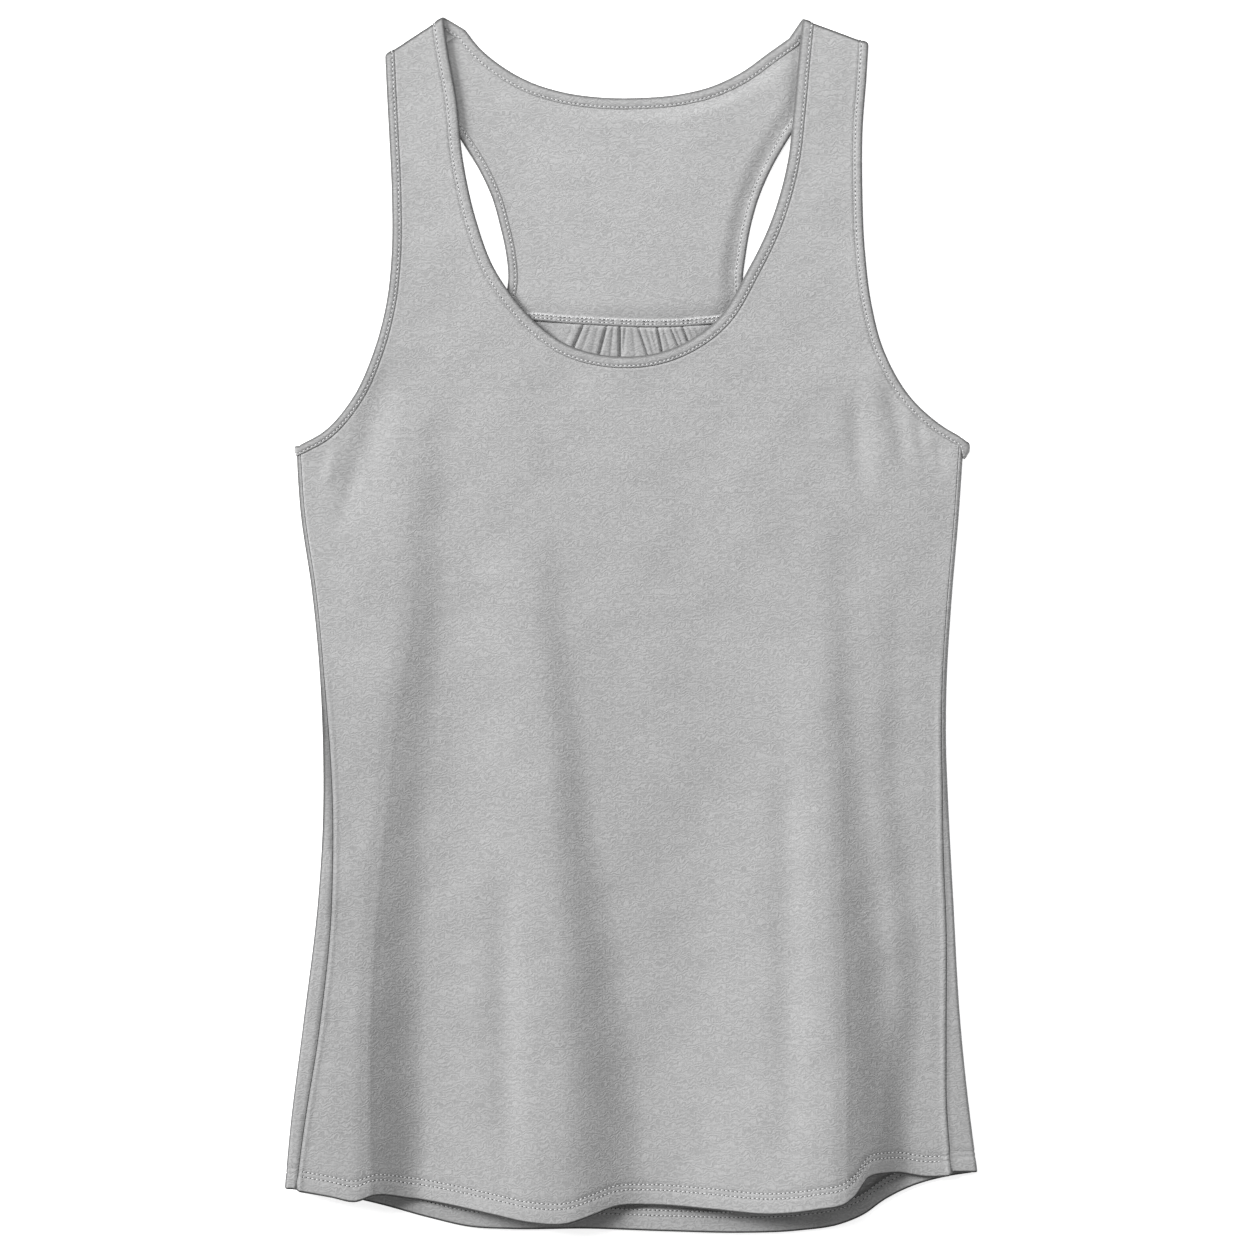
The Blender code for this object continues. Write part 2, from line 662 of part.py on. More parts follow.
def front_panel(material):
    edges = front_edges(EDGE_STEP)
    rows = [np.array(front_columns(y)) for y in np.arange(FOLD_ROWS_TOP, HEM_LEVEL, -ROW_STEP)]
    rows = [row[over_line(row, FRONT_HEM) > HEM_DEPTH + CLEAR] for row in rows]
    rows += [front_hem_row(HEM_DEPTH - GAP), front_hem_row(HEM_DEPTH + 2 * GAP)]
    upper = grid_points(UPPER_GRID)
    before = np.maximum(past_shoulder("left", upper), past_shoulder("right", upper))
    upper = upper[before < -2 * STEADY]

    def outer(flat):
        return np.full(len(flat), CLOTH / 2)

    def inner(flat):
        return -CLOTH / 2 - HEM_FOLD * (over_line(flat, curve(FRONT_HEM, HEM_STEP)) < HEM_DEPTH)

    layout = laid_out(front_outline(edges), upper, rows + strap_rows(edges))
    return panel("front", layout, place_front, outer, inner, material)


def gather_relief(flat):
    """Height of the gathers over the lower back, by place on the surface."""
    x = np.asarray(flat, float)[:, 0]
    down = np.maximum(-over_line(np.asarray(flat, float), YOKE_SEAM), 0.0)
    middle = (GATHER_LEFT + GATHER_RIGHT) / 2
    half = (GATHER_RIGHT - GATHER_LEFT) / 2
    home = (x - middle) / (1 + GATHER_FAN * down / half)
    wave = 0.5 - 0.5 * np.cos((home + half) / (2 * half) * GATHER_PLEATS * 2 * math.pi)
    fade = ease((half - np.abs(home)) / GATHER_FADE + 0.5) * (np.abs(home) < half)
    return GATHER_HEIGHT * wave * fade * ease(1.2 - down / GATHER_LENGTH)


def gather_row(down):
    """Points on the crests, feet and flanks of the gathers, at a distance under the yoke seam."""
    middle = (GATHER_LEFT + GATHER_RIGHT) / 2
    half = (GATHER_RIGHT - GATHER_LEFT) / 2
    across = np.linspace(GATHER_LEFT, GATHER_RIGHT, GATHER_PLEATS * PLEAT_STOPS + 1) - middle
    x = middle + across * (1 + GATHER_FAN * down / half)
    y = -over_line(np.column_stack([x, np.zeros(len(x))]), YOKE_SEAM) - down
    return np.column_stack([x, y])


def gathered_seam(left, right):
    """The lower back's edge at the yoke seam, left to right."""
    gathers = gather_row(GAP)
    plain = curve(YOKE_SEAM, EDGE_STEP) - (0, GAP)
    before = plain[(plain[:, 0] > left + CLEAR) & (plain[:, 0] < GATHER_LEFT - CLEAR)]
    after = plain[(plain[:, 0] > GATHER_RIGHT + CLEAR) & (plain[:, 0] < right - CLEAR)]
    return np.vstack([before, gathers, after])


def fold_row(side, y, overlap):
    """A row of the lower back's layout across its side fold, from the axis to the side seam."""
    rolled = np.linspace(0.0, FOLD_ARC, ROLL_STEPS + 1)
    spread = [*rolled, FOLD_ARC + overlap] if overlap < CLEAR else [
        *rolled, FOLD_ARC + overlap / 2, FOLD_ARC + overlap]
    return [(side * (SPREAD + distance), y) for distance in spread]


def lower_back_outline(edges):
    """The lower back's edge in its straightened layout."""
    sides, top_folds, hem_folds, arms = {}, {}, {}, {}
    for side, name in ((-1, "arm_left"), (1, "arm_right")):
        rows = side_rows(side, BACK_HEM)
        sides[side] = np.column_stack([side * (SPREAD + FOLD_ARC + seam_overlap(side, rows)), rows])
        top_folds[side] = fold_row(side, rows[0], 0.0)[:-1]
        hem_folds[side] = fold_row(side, rows[-1], 0.0)[:-1]
        line = moved_in(edges[name], ARM_BAND + GAP)
        line = clip(line, lambda points: -over_line(points, YOKE_SEAM) - GAP)
        arms[side] = line[np.abs(line[:, 0]) < side_axis(side, rows[0]) - CLEAR]
    hem = curve(BACK_HEM, EDGE_STEP)
    ends = [side_axis(side, hem_folds[side][0][1]) - CLEAR for side in (-1, 1)]
    hem = hem[(hem[:, 0] > -ends[0]) & (hem[:, 0] < ends[1])]
    seam = gathered_seam(arms[-1][0][0], arms[1][0][0])
    return np.vstack([
        sides[-1], hem_folds[-1][::-1], straighten(hem), hem_folds[1], sides[1][::-1],
        top_folds[1][::-1], straighten(arms[1][::-1]), straighten(seam[::-1]),
        straighten(arms[-1]), top_folds[-1],
    ])


def lower_back_panel(material):
    rows = [
        fold_row(side, y, float(seam_overlap(side, y)))
        for side in (-1, 1) for y in side_rows(side, BACK_HEM)[1:-1]
    ]
    rows += [straighten(gather_row(down)) for down in GATHER_ROWS]
    hem = curve(BACK_HEM, EDGE_STEP)
    hem = hem[np.abs(hem[:, 0]) < side_axis(-1, BACK_HEM[0].y) - HEM_INSET]
    rows += [straighten(hem + (0, rise)) for rise in (HEM_DEPTH - GAP, HEM_DEPTH + 2 * GAP)]
    def outer(flat):
        return np.full(len(flat), CLOTH / 2)

    def inner(flat):
        plan = place_lower(flat, np.zeros(len(flat)))[:, :2]
        turned = (over_line(plan, curve(BACK_HEM, HEM_STEP)) < HEM_DEPTH) & (
            np.abs(flat[:, 0]) < SPREAD - HEM_INSET)
        return -CLOTH / 2 - HEM_FOLD * turned - gather_relief(plan)

    layout = laid_out(lower_back_outline(back_edges(EDGE_STEP)), grid_points(LOWER_GRID), rows)
    return panel("back_lower", layout, place_lower, outer, inner, material)


def yoke_panel(material):
    edges = back_edges(EDGE_STEP)
    drop = SHOULDER_SEAM - FOLD_ARC + GAP
    lines = {}
    for name, width in (("neck", NECK_BAND), ("arm_left", ARM_BAND), ("arm_right", ARM_BAND)):
        line = moved_in(edges[name], width + GAP)
        line = clip(line, lambda points: over_line(points, YOKE_SEAM))
        for side, sign in (("left", -1), ("right", 1)):
            line = clip(line, lambda points: np.where(
                points[:, 0] * sign > 0, -past_shoulder(side, points) - drop, CLEAR))
        lines[name] = line
    seam = curve(YOKE_SEAM, EDGE_STEP)
    ends = (lines["arm_left"][-1][0] + CLEAR, lines["arm_right"][-1][0] - CLEAR)
    seam = seam[(seam[:, 0] > ends[0]) & (seam[:, 0] < ends[1])]
    outline = np.vstack([lines["arm_left"], seam, lines["arm_right"][::-1], lines["neck"][::-1]])
    def outer(flat):
        return np.full(len(flat), CLOTH / 2)

    def inner(flat):
        return np.full(len(flat), -CLOTH / 2)

    layout = laid_out(outline, grid_points(YOKE_GRID), [])
    return panel("back_yoke", layout, place_back, outer, inner, material)


def neck_binding(material):
    front = front_edges(EDGE_STEP)["neck"]
    back = back_edges(EDGE_STEP)["neck"]
    back = Edge(back.points[1:-1], back.inward[1:-1])
    rings = edge_rings(front, NECK_BAND, place_front) + edge_rings(back, NECK_BAND, place_back)
    return band("neck_binding", rings, material)


def armhole_binding(side, material):
    name = "arm_left" if side < 0 else "arm_right"
    front = edge_rings(front_edges(EDGE_STEP)[name], ARM_BAND, place_front)
    back = back_edges(EDGE_STEP)[name]
    back = edge_rings(Edge(back.points[1:-1], back.inward[1:-1]), ARM_BAND, place_back)
    if side > 0:
        front = front[::-1]
    turn = underarm_rings(side, UNDERARM[side])
    label = "left" if side < 0 else "right"
    return band(f"armhole_binding_{label}", front[:-1] + turn + back[::-1], material)


def build():
    clear_scene()
    jersey = fabric("heather_jersey", HEATHER_GREY)
    inner = fabric("jersey_inner_side", INNER_GREY)
    binding = fabric("jersey_binding", BINDING_GREY)
    front_panel(jersey)
    yoke_panel(inner)
    lower_back_panel(inner)
    neck_binding(binding)
    armhole_binding(-1, binding)
    armhole_binding(1, binding)


build()
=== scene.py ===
"""Looks of a racerback tank top in heather-grey jersey, laid on its back.

Each sewn piece is a thin shell that follows the form of its solid, with creases, turned hems, folded
bindings and the stitches added. Pieces are drawn in a flat layout, in millimetres, and carried to their
places over the shoulder and side folds. "out" is a distance towards the garment's outside.
"""

import math
from collections import namedtuple

import bmesh
import bpy
import numpy as np
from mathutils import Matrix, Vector
from mathutils.geometry import delaunay_2d_cdt


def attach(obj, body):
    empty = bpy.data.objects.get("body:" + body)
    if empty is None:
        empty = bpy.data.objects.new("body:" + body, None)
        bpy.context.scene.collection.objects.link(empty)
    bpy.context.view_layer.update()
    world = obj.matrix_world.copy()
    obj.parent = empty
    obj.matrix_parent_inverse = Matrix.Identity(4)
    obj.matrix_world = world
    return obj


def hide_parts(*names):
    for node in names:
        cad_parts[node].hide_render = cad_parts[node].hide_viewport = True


MM = 0.001

# Levels and widths, as in the solids, in millimetres
WALL = 0.45  # half the thickness of the jersey that shows
HEM_DEPTH = 12.5
HEM_LAYER = 0.85  # the turned layer of a hem, on its inner side
BAND = 2.0  # thickness of the folded edge bindings
NECK_BAND = 6.5
ARM_BAND = 5.2
WIDTHS = {"neck": NECK_BAND, "arm_left": ARM_BAND, "arm_right": ARM_BAND}
TUCK = 2.4  # how far inside a binding's fold the cloth ends
FRONT_LEVEL = 3.8
BACK_LEVEL = 0.6
FOLD_RADIUS = (FRONT_LEVEL - BACK_LEVEL) / 2
FOLD_ARC = math.pi * FOLD_RADIUS
FOLD_EDGE = FOLD_RADIUS + BACK_LEVEL
SHOULDER_SEAM = FOLD_ARC + 10.8
ROLL_STEPS = 12
TURN_REACH = 14.0  # before a shoulder fold, where an edge's cross-sections turn to lie along it
STEADY = 3.0  # and the last stretch of that, where they have turned
SPREAD = 200.0  # half width of the lower back's straightened layout, between the side folds' axes
SEAM_GAP = 0.12  # between the cloths of two pieces at a seam

# Spacing of the points
STEP = 2.5
BACK_STEP = 3.2
BAND_STEP = 2.2
HEM_STEP = 1.6
PLEAT_STEP = 0.6
CURVE_FINENESS = 24  # points to a given one when a curve is measured
SAME = 1e-6  # points nearer than this are one
MERGE = 1e-4  # and those that the filling joins
FREE_SHARE = 0.4  # of a step, what an edge keeps free before its points over a fold
FILL_WITHIN = 1  # the filling mode that keeps only the triangles within the rim

# Where points cross a shoulder fold, by distance past its axis
ROLL = np.linspace(0.0, FOLD_ARC, ROLL_STEPS + 1)
SHOULDER_STOPS = [-STEADY, *ROLL, *np.linspace(FOLD_ARC, SHOULDER_SEAM, 5)[1:]]
Zone = namedtuple("Zone", "half bottom top")
PLEATED = Zone(half=50.0, bottom=124.0, top=177.0)
NECK_LOW = 152.0  # below this height the front hides the gathers

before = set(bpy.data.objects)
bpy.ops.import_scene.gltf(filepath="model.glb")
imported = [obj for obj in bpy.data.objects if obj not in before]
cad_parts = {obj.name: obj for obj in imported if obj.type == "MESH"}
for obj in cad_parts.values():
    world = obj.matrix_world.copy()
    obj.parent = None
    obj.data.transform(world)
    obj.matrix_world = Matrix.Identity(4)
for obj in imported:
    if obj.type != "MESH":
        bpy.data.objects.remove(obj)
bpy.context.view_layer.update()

Point = namedtuple("Point", "x y")
Level = namedtuple("Level", "y width")
Inset = namedtuple("Inset", "y left right")
Flute = namedtuple("Flute", "y crest height gentle steep")
Shoulder = namedtuple("Shoulder", "neck arm")
SIDES = {"left": -1, "right": 1}
ARMS = {-1: "arm_left", 1: "arm_right"}


def each(kind, *rows):
    """A table: each row's numbers under the names of their columns."""
    return tuple(kind(*row) for row in rows)


# Ends of each shoulder fold's outer edge, at the neck and at the armhole
SHOULDERS = {
    "left": Shoulder(neck=Point(-111.1, 351.2), arm=Point(-144.0, 329.6)),
    "right": Shoulder(neck=Point(99.8, 351.2), arm=Point(138.3, 337.0)),
}

# Cut edges of the front, anticlockwise, each with the panel on its left
FRONT_ARM_LEFT = each(
    Point, (-142.6, 328), (-141.8, 310.6), (-140.4, 284), (-138.9, 251.4), (-139, 214.3), (-142, 186.5),
    (-149.3, 158.6), (-162.1, 130.8), (-178.3, 112.2), (-193, 104),
)
FRONT_ARM_RIGHT = each(
    Point, (191, 109), (178.9, 116.3), (162.7, 130.8), (146.4, 158.6), (138.9, 186.5), (135.4, 214.3),
    (133.7, 251.4), (133.9, 288.5), (136, 316.4), (137.2, 336),
)
FRONT_NECK = each(
    Point, (99, 351), (97.5, 337.3), (93.7, 296.7), (90.6, 270), (79.8, 231.7), (68.1, 207.3),
    (48.4, 176), (31, 163.8), (13.6, 157.5), (-3.8, 155.7), (-21.2, 157.5), (-38.6, 163.3),
    (-54.8, 174.9), (-69.3, 191.1), (-79.8, 207.3), (-89, 231.7), (-97.6, 270), (-101.2, 304),
    (-107, 337.3), (-108.7, 350),
)
FRONT_HEM = each(
    Point, (-200.4, -324.5), (-172.5, -329.1), (-158.6, -331.5), (-149.3, -328.6), (-128.5, -331.5),
    (-107.6, -334.9), (-79.8, -340.2), (-58.9, -344.2), (-38, -344.8), (-24.1, -340.8), (-10.1, -336.1),
    (10.7, -335.5), (45.5, -337.3), (80.3, -339), (108.2, -335.5), (122.1, -332.6), (129, -327.4),
    (136, -318.1), (149.9, -316.4), (170.8, -319.3), (201, -316.6),
)

# Cut edges of the back. The yoke's start or end at the shoulder seams, which follow from the front.
YOKE_NECK = each(
    Point, (-87.9, 334.6), (-76.3, 325), (-58.9, 315.2), (-41.5, 309.6), (-18.3, 306.2), (4.9, 305.9),
    (28.1, 308), (45.5, 312.2), (62.9, 320.2), (80.3, 332.6),
)
YOKE_ARM_LEFT = each(
    Point, (-98.3, 280.4), (-88.4, 264.2), (-80.9, 247.9), (-76.3, 231.7), (-72.8, 215.5),
    (-71.6, 199.2), (-73.9, 187.6), (-79.5, 177.5),
)
YOKE_ARM_RIGHT = each(
    Point, (72.5, 178), (66.4, 187.6), (64.7, 199.2), (66.4, 215.5), (69.3, 231.7), (73.9, 247.9),
    (80.9, 264.2), (90, 280.4),
)
LOWER_ARM_LEFT = each(Point, (-93.7, 158.5), (-122.7, 132.5), (-157.5, 112.2), (-192.4, 104))
LOWER_ARM_RIGHT = each(Point, (190.6, 109), (155.7, 117), (118, 135), (87.5, 159))
YOKE_SEAM = each(
    Point, (-79.5, 177.5), (-56, 177), (-38.6, 175.4), (-18.3, 174.2), (7.8, 173.1), (25.2, 173.3),
    (42.6, 174.6), (72.5, 178),
)
BACK_HEM = each(
    Point, (-200.4, -324.5), (-172.5, -329.1), (-144.7, -335.5), (-116.9, -343.1), (-93.7, -348.3),
    (-70.5, -349.6), (-24.1, -349.4), (22.3, -351), (62.9, -351.8), (97.7, -350.4), (119.8, -347.1),
    (133.7, -341.5), (146.4, -332.6), (161.5, -325.1), (182.4, -319.2), (201, -316.4),
)

# Height of the armholes' lowest points, at the side folds
UNDERARM = {-1: FRONT_ARM_LEFT[-1].y, 1: FRONT_ARM_RIGHT[0].y}

# Half width of the folded body, to the outside of each side fold
LEFT_SIDE = each(
    Level, (104, 194.6), (64.1, 191.7), (20.6, 185.3), (-20, 181.2), (-64.1, 178.9), (-119.8, 178.9),
    (-156.9, 181.2), (-231.1, 189.9), (-292.6, 197.5), (-324.5, 200.4),
)
RIGHT_SIDE = each(
    Level, (109, 192.8), (65.8, 189.9), (10.1, 185.3), (-27, 183), (-66.4, 182.4), (-101.2, 183.6),
    (-156.9, 186.5), (-234.6, 191.1), (-283.9, 196.3), (-316.4, 200.6),
)
# How far the side seams lie inside those folds, on the front
SEAM_INSETS = each(
    Inset, (110, 2.8, 2.8), (20, 2.8, 2.8), (-32, 3, 2.8), (-84, 5.2, 3), (-136, 7.5, 4.6),
    (-188, 9.9, 5.6), (-240, 10.4, 9.3), (-275, 9.3, 12.8), (-325, 7.4, 15.7),
)

# The front's long folds, left to right. At each height: the crest's place, how high it stands over the
# panel, and how far its gentle side on the left and its steep one on the right reach.
FLUTES = (
    each(
        Flute, (140, -121, 0, 60, 20), (84, -128.5, 2.1, 84, 24), (38, -135, 3.2, 96, 29),
        (-8, -138, 4.3, 110, 31), (-55, -146, 5.2, 120, 34), (-101, -150, 6.2, 130, 35),
        (-148, -155, 8.2, 140, 38), (-194, -158.5, 10, 150, 41), (-240, -160, 12, 150, 42),
        (-345, -159, 12.8, 150, 40),
    ),
    each(
        Flute, (80, -59, 0, 34, 18), (38, -58, 1.2, 40, 20), (-8, -56, 2.3, 48, 22),
        (-55, -50, 3, 56, 24), (-101, -48, 4.6, 64, 27), (-148, -46, 5.8, 72, 33),
        (-194, -43, 7.5, 80, 39), (-240, -41, 8.6, 84, 44), (-298, -41, 10.4, 86, 50),
        (-345, -41, 11.2, 88, 52),
    ),
    each(
        Flute, (90, 104, 0, 40, 18), (38, 108, 1, 46, 19), (-8, 110, 1.9, 54, 19),
        (-55, 110.5, 3, 64, 22), (-101, 112, 4.2, 74, 25), (-148, 112, 6.6, 88, 31),
        (-194, 113.5, 9, 98, 36), (-240, 114.5, 11, 108, 40), (-298, 114.5, 13.4, 114, 46),
        (-345, 115, 14.2, 116, 48),
    ),
    each(
        Flute, (30, 139, 0, 50, 14), (-8, 141, 0.9, 60, 15), (-101, 142, 1.4, 70, 15),
        (-148, 148, 1.8, 74, 16), (-194, 150, 2.8, 80, 19), (-240, 147, 3.4, 84, 21),
        (-298, 139, 4, 84, 25), (-345, 138, 4.2, 86, 26),
    ),
)

# Curves and outlines

def ease(share):
    """Rises smoothly from 0 to 1, as a share does, and stays there."""
    share = np.clip(share, 0.0, 1.0)
    return share * share * (3.0 - 2.0 * share)


def bell(offset, width):
    """A smooth bump, one where there is no offset."""
    return np.exp(-(offset / width) ** 2)


def through(knots, values, at):
    """Reads a smooth curve through values at rising knots."""
    knots, values, at = (np.asarray(item, float) for item in (knots, values, at))
    slopes = np.gradient(values, knots, axis=0)
    at = np.clip(at, knots[0], knots[-1])
    i = np.clip(np.searchsorted(knots, at) - 1, 0, len(knots) - 2)
    wide = knots[i + 1] - knots[i]
    s = (at - knots[i]) / wide
    if values.ndim > 1:
        s, wide = s[..., None], wide[..., None]
    start = (1 + 2 * s) * (1 - s) ** 2 * values[i] + s * (1 - s) ** 2 * wide * slopes[i]
    end = s * s * (3 - 2 * s) * values[i + 1] + s * s * (s - 1) * wide * slopes[i + 1]
    return start + end


def column(table, name, y):
    """Reads one column of a table whose rows go down the garment."""
    rows = table[::-1]
    return through([row.y for row in rows], [getattr(row, name) for row in rows], y)


def lengths(points):
    """How far along a line each of its points lies."""
    steps = np.linalg.norm(np.diff(points, axis=0), axis=1)
    return np.concatenate([[0.0], np.cumsum(steps)])


def curve(points, step):
    """Evenly spaced points on a smooth curve through the given ones."""
    points = np.array(points, float)
    along = lengths(points)
    fine = through(along, points, np.linspace(0.0, along[-1], CURVE_FINENESS * len(points)))
    run = lengths(fine)
    at = np.linspace(0.0, run[-1], max(2, round(run[-1] / step) + 1))
    return np.stack([np.interp(at, run, fine[:, axis]) for axis in (0, 1)], axis=1)


def unit(vectors):
    vectors = np.asarray(vectors, float)
    return vectors / np.linalg.norm(vectors, axis=-1, keepdims=True)


def left_of(points):
    """The way to the left of a line at each of its points."""
    ahead = unit(np.gradient(points, axis=0))
    return np.stack([-ahead[:, 1], ahead[:, 0]], axis=1)


def inside(points, outline):
    """Which points lie in a closed outline."""
    x, y = points.T
    odd = np.zeros(len(points), bool)
    for (ax, ay), (bx, by) in zip(outline, np.roll(outline, -1, axis=0)):
        if ay != by:
            crosses = (ay > y) != (by > y)
            odd ^= crosses & (x < (bx - ax) * (y - ay) / (by - ay) + ax)
    return odd


def clip(points, value):
    """The stretch of a line where a value is positive, cut off where it crosses zero."""
    values = value(points)
    kept = []
    for i, point in enumerate(points):
        if i and (values[i] > 0) != (values[i - 1] > 0):
            share = values[i - 1] / (values[i - 1] - values[i])
            kept.append(points[i - 1] + (point - points[i - 1]) * share)
        if values[i] > 0:
            kept.append(point)
    return np.array(kept)


def over_line(points, line):
    """Height of points over a line that runs across the garment."""
    line = np.array(line, float)
    order = np.argsort(line[:, 0])
    return points[:, 1] - np.interp(points[:, 0], line[order, 0], line[order, 1])


def clearance(points, outline):
    """How far each point is from a closed outline."""
    return row_clearance(points, np.vstack([outline, outline[:1]]))


def row_clearance(points, row):
    """How far each point is from an open line."""
    nearest = np.full(len(points), np.inf)
    for a, b in zip(row[:-1], row[1:]):
        run = b - a
        share = np.clip((points - a) @ run / max(run @ run, SAME), 0.0, 1.0)
        away = np.linalg.norm(points - a - share[:, None] * run, axis=1)
        nearest = np.minimum(nearest, away)
    return nearest


# The folds, which carry a flat layout to its place. "out" is a distance towards the garment's outside.

def over_fold(past, out, low, lift=0.0):
    """Across and up for points that lie past a fold's axis, from the front's level down to the low one.

    A lift makes the fold a taller loop, which stands that much over the front's level.
    """
    turn = np.clip(past / FOLD_RADIUS, 0.0, math.pi)
    radius = (FRONT_LEVEL - low) / 2 + out
    across = np.minimum(past, 0.0) + radius * np.sin(turn) - np.maximum(past - FOLD_ARC, 0.0)
    up = (FRONT_LEVEL + lift + low) / 2 + (radius + lift / 2) * np.cos(turn)
    return across, up


def shoulder_frame(side):
    """A point on a shoulder fold's axis, the way along it from neck to armhole, and the way past it."""
    neck, arm = (np.array(end) for end in SHOULDERS[side])
    along = unit(arm - neck)
    past = np.array([along[1], -along[0]]) if side == "left" else np.array([-along[1], along[0]])
    return neck - past * FOLD_EDGE, along, past


def past_shoulder(side, flat):
    """How far points lie past a shoulder fold's axis."""
    base, _, past = shoulder_frame(side)
    return (flat - base) @ past


def past_shoulders(flat):
    """The same for whichever of the two folds is nearer."""
    return np.maximum(past_shoulder("left", flat), past_shoulder("right", flat))


# Relief: how far the cloth stands up from its plain levels

Crease = namedtuple("Crease", "start end bow width height")
Ripple = namedtuple("Ripple", "angle length phase height")
Pleat = namedtuple("Pleat", "x lean depth")

# Drag lines from the left armhole, then from the right one, then slack between the long folds
FRONT_CREASES = each(
    Crease, ((-150, 138), (-176, 44), -5, 6.5, -1), ((-160, 108), (-168, 70), -2, 4.5, -0.6),
    ((-171, 109), (-180, 76), -2, 3.4, 0.8), ((-138, 160), (-150, 60), 4, 8, -1),
    ((143, 151), (159, 84), -3, 5.5, -1.5), ((131, 146), (137, 66), 3, 6.5, -1.4),
    ((164, 126), (174, 90), 2, 3.6, -1), ((177, 110), (184, 84), 1.5, 3, -0.8),
    ((-73, -110), (-68, -352), 3, 9, -1.6), ((88, -20), (89, -352), -2, 9.5, -1.6),
    ((34, -60), (52, -250), 5, 18, -0.7), ((-104, 40), (-100, -170), 4, 17, -0.6),
    ((-172, -60), (-182, -250), 3, 9, 0.5),
)
BACK_CREASES = each(
    Crease, ((-30, 150), (-66, -120), 8, 13, 0.9), ((-4, 140), (-8, -190), -7, 15, 0.8),
    ((26, 148), (58, -90), -6, 12, 0.9), ((-118, 60), (-134, -230), 5, 14, 0.6),
    ((112, 40), (124, -220), -5, 15, 0.7),
)
RIPPLES = each(
    Ripple, (8, 74, 0.4, 0.2), (71, 58, 2.1, 0.17), (-38, 41, 4, 0.1), (33, 27, 1.2, 0.05),
    (-80, 19, 5.1, 0.025),
)
CREASE_FADE = 0.35  # of a crease's length, what each end takes to fade out
# How the ripples' lines sway: how far, over what lengths for a radian, and from which ones
Sway = namedtuple("Sway", "reach x_length x_start y_length y_start")
LONG_SWAY = Sway(9.0, 43.0, 0.7, 37.0, 0.0)
SHORT_SWAY = Sway(4.5, 29.0, 0.0, 23.0, 2.0)
RIPPLE_LIFT = 0.5  # keeps the back's ripples over the table
BACK_RIPPLES = 0.6  # of the front's
YOKE_RIPPLES = 0.5
CREST_SHARPNESS = (0.06, 0.02, 0.08, 0.06)  # of the long folds, left to right
# The narrow lip along a fold: its distance past the crest and its height as a share of the fold's
Lip = namedtuple("Lip", "place height")
LIPS = (Lip(9.0, 0.022), None, Lip(9.0, 0.018), None)
LIP_WIDTH = 1.5

# The ridge that a side seam's turned edges raise beside it
RIDGE_HEIGHT = 0.5
RIDGE_PLACE = 1.9
RIDGE_WIDTH = 1.1
RIDGE_START = 80.0  # it grows to its height over this much below the middle

# Where the finer relief has faded out or in, by distance from what the cloth is sewn or folded at
SIDE_CALM = 15.0
SHOULDER_CALM = 26.0
YOKE_CALM = 12.0
LOWER_CALM = 26.0
FOLD_CALM = 24.0
BINDING_CALM = 14.0
BINDING_SLOPE = 8.0
PROBE = 0.4  # the front's slopes are read this far to each side

# The yoke's rise to the right: its height, from where and over what width it grows, how far under the
# strap it ends, the width of that fall, and the height at which it has faded out towards the neck
Rise = namedtuple("Rise", "height start width under fall top fade")
YOKE_RISE = Rise(height=2.1, start=-95.0, width=130.0, under=3.0, fall=11.0, top=345.0, fade=40.0)
STRAP_EDGE = FRONT_NECK[9::-1]  # the right strap's, from the scoop's lowest point up

# Troughs between the gathers under the yoke seam: place, lean for each millimetre down, depth
PLEATS = each(
    Pleat, (-33, -0.44, 0.5), (-27.6, -0.42, 1.2), (-23, -0.36, 0.5), (-19, -0.24, 0.3),
    (-14.2, -0.26, 1.2), (-10.4, -0.1, 0.6), (-6.7, 0, 1.4), (-3.2, -0.12, 0.7), (0.6, 0.1, 0.4),
    (3.8, 0.34, 1), (8.2, 0.3, 0.6), (11.4, 0.24, 0.4), (14.8, 0.2, 1.4), (18.2, 0.3, 0.6),
    (22.3, 0.42, 1), (25.2, 0.4, 0.7), (29.3, 0.38, 1.2), (32.6, 0.46, 0.5), (36, 0.52, 0.4),
)
GATHER_HEIGHT = 1.7
GATHER_LENGTH = 46.0
GATHER_TAIL = 1.15  # of that length, where the gathers have faded out
GATHER_SIDES = 16.0  # what they take to grow, from either end of the pleated stretch
GATHER_START = 1.2  # and from the seam down
BULGE_SHARE = 0.22  # of their height, what a bulge between two troughs adds
BULGE_FULLNESS = 0.6
BULGE_WIDTH = 7.0  # of a bulge that is as high as it gets
TROUGH_WIDTH = 0.72
TROUGH_DEPTH = 1.25
TROUGH_TAIL = 1.4
TROUGH_LENGTH = 22.0  # for each unit of a pleat's depth
TROUGH_LEAST = 8.0


def creased(x, y, creases):
    """Height of soft creases, each bowed to one side and fading out at both ends."""
    total = np.zeros_like(x)
    for crease in creases:
        start, end = np.array(crease.start), np.array(crease.end)
        run = end - start
        length = np.linalg.norm(run)
        share = ((x - start[0]) * run[0] + (y - start[1]) * run[1]) / length ** 2
        aside = ((x - start[0]) * run[1] - (y - start[1]) * run[0]) / length
        aside = aside - crease.bow * 4 * share * (1 - share)
        ends = ease(share / CREASE_FADE) * ease((1 - share) / CREASE_FADE)
        total += crease.height * ends * bell(aside, crease.width)
    return total


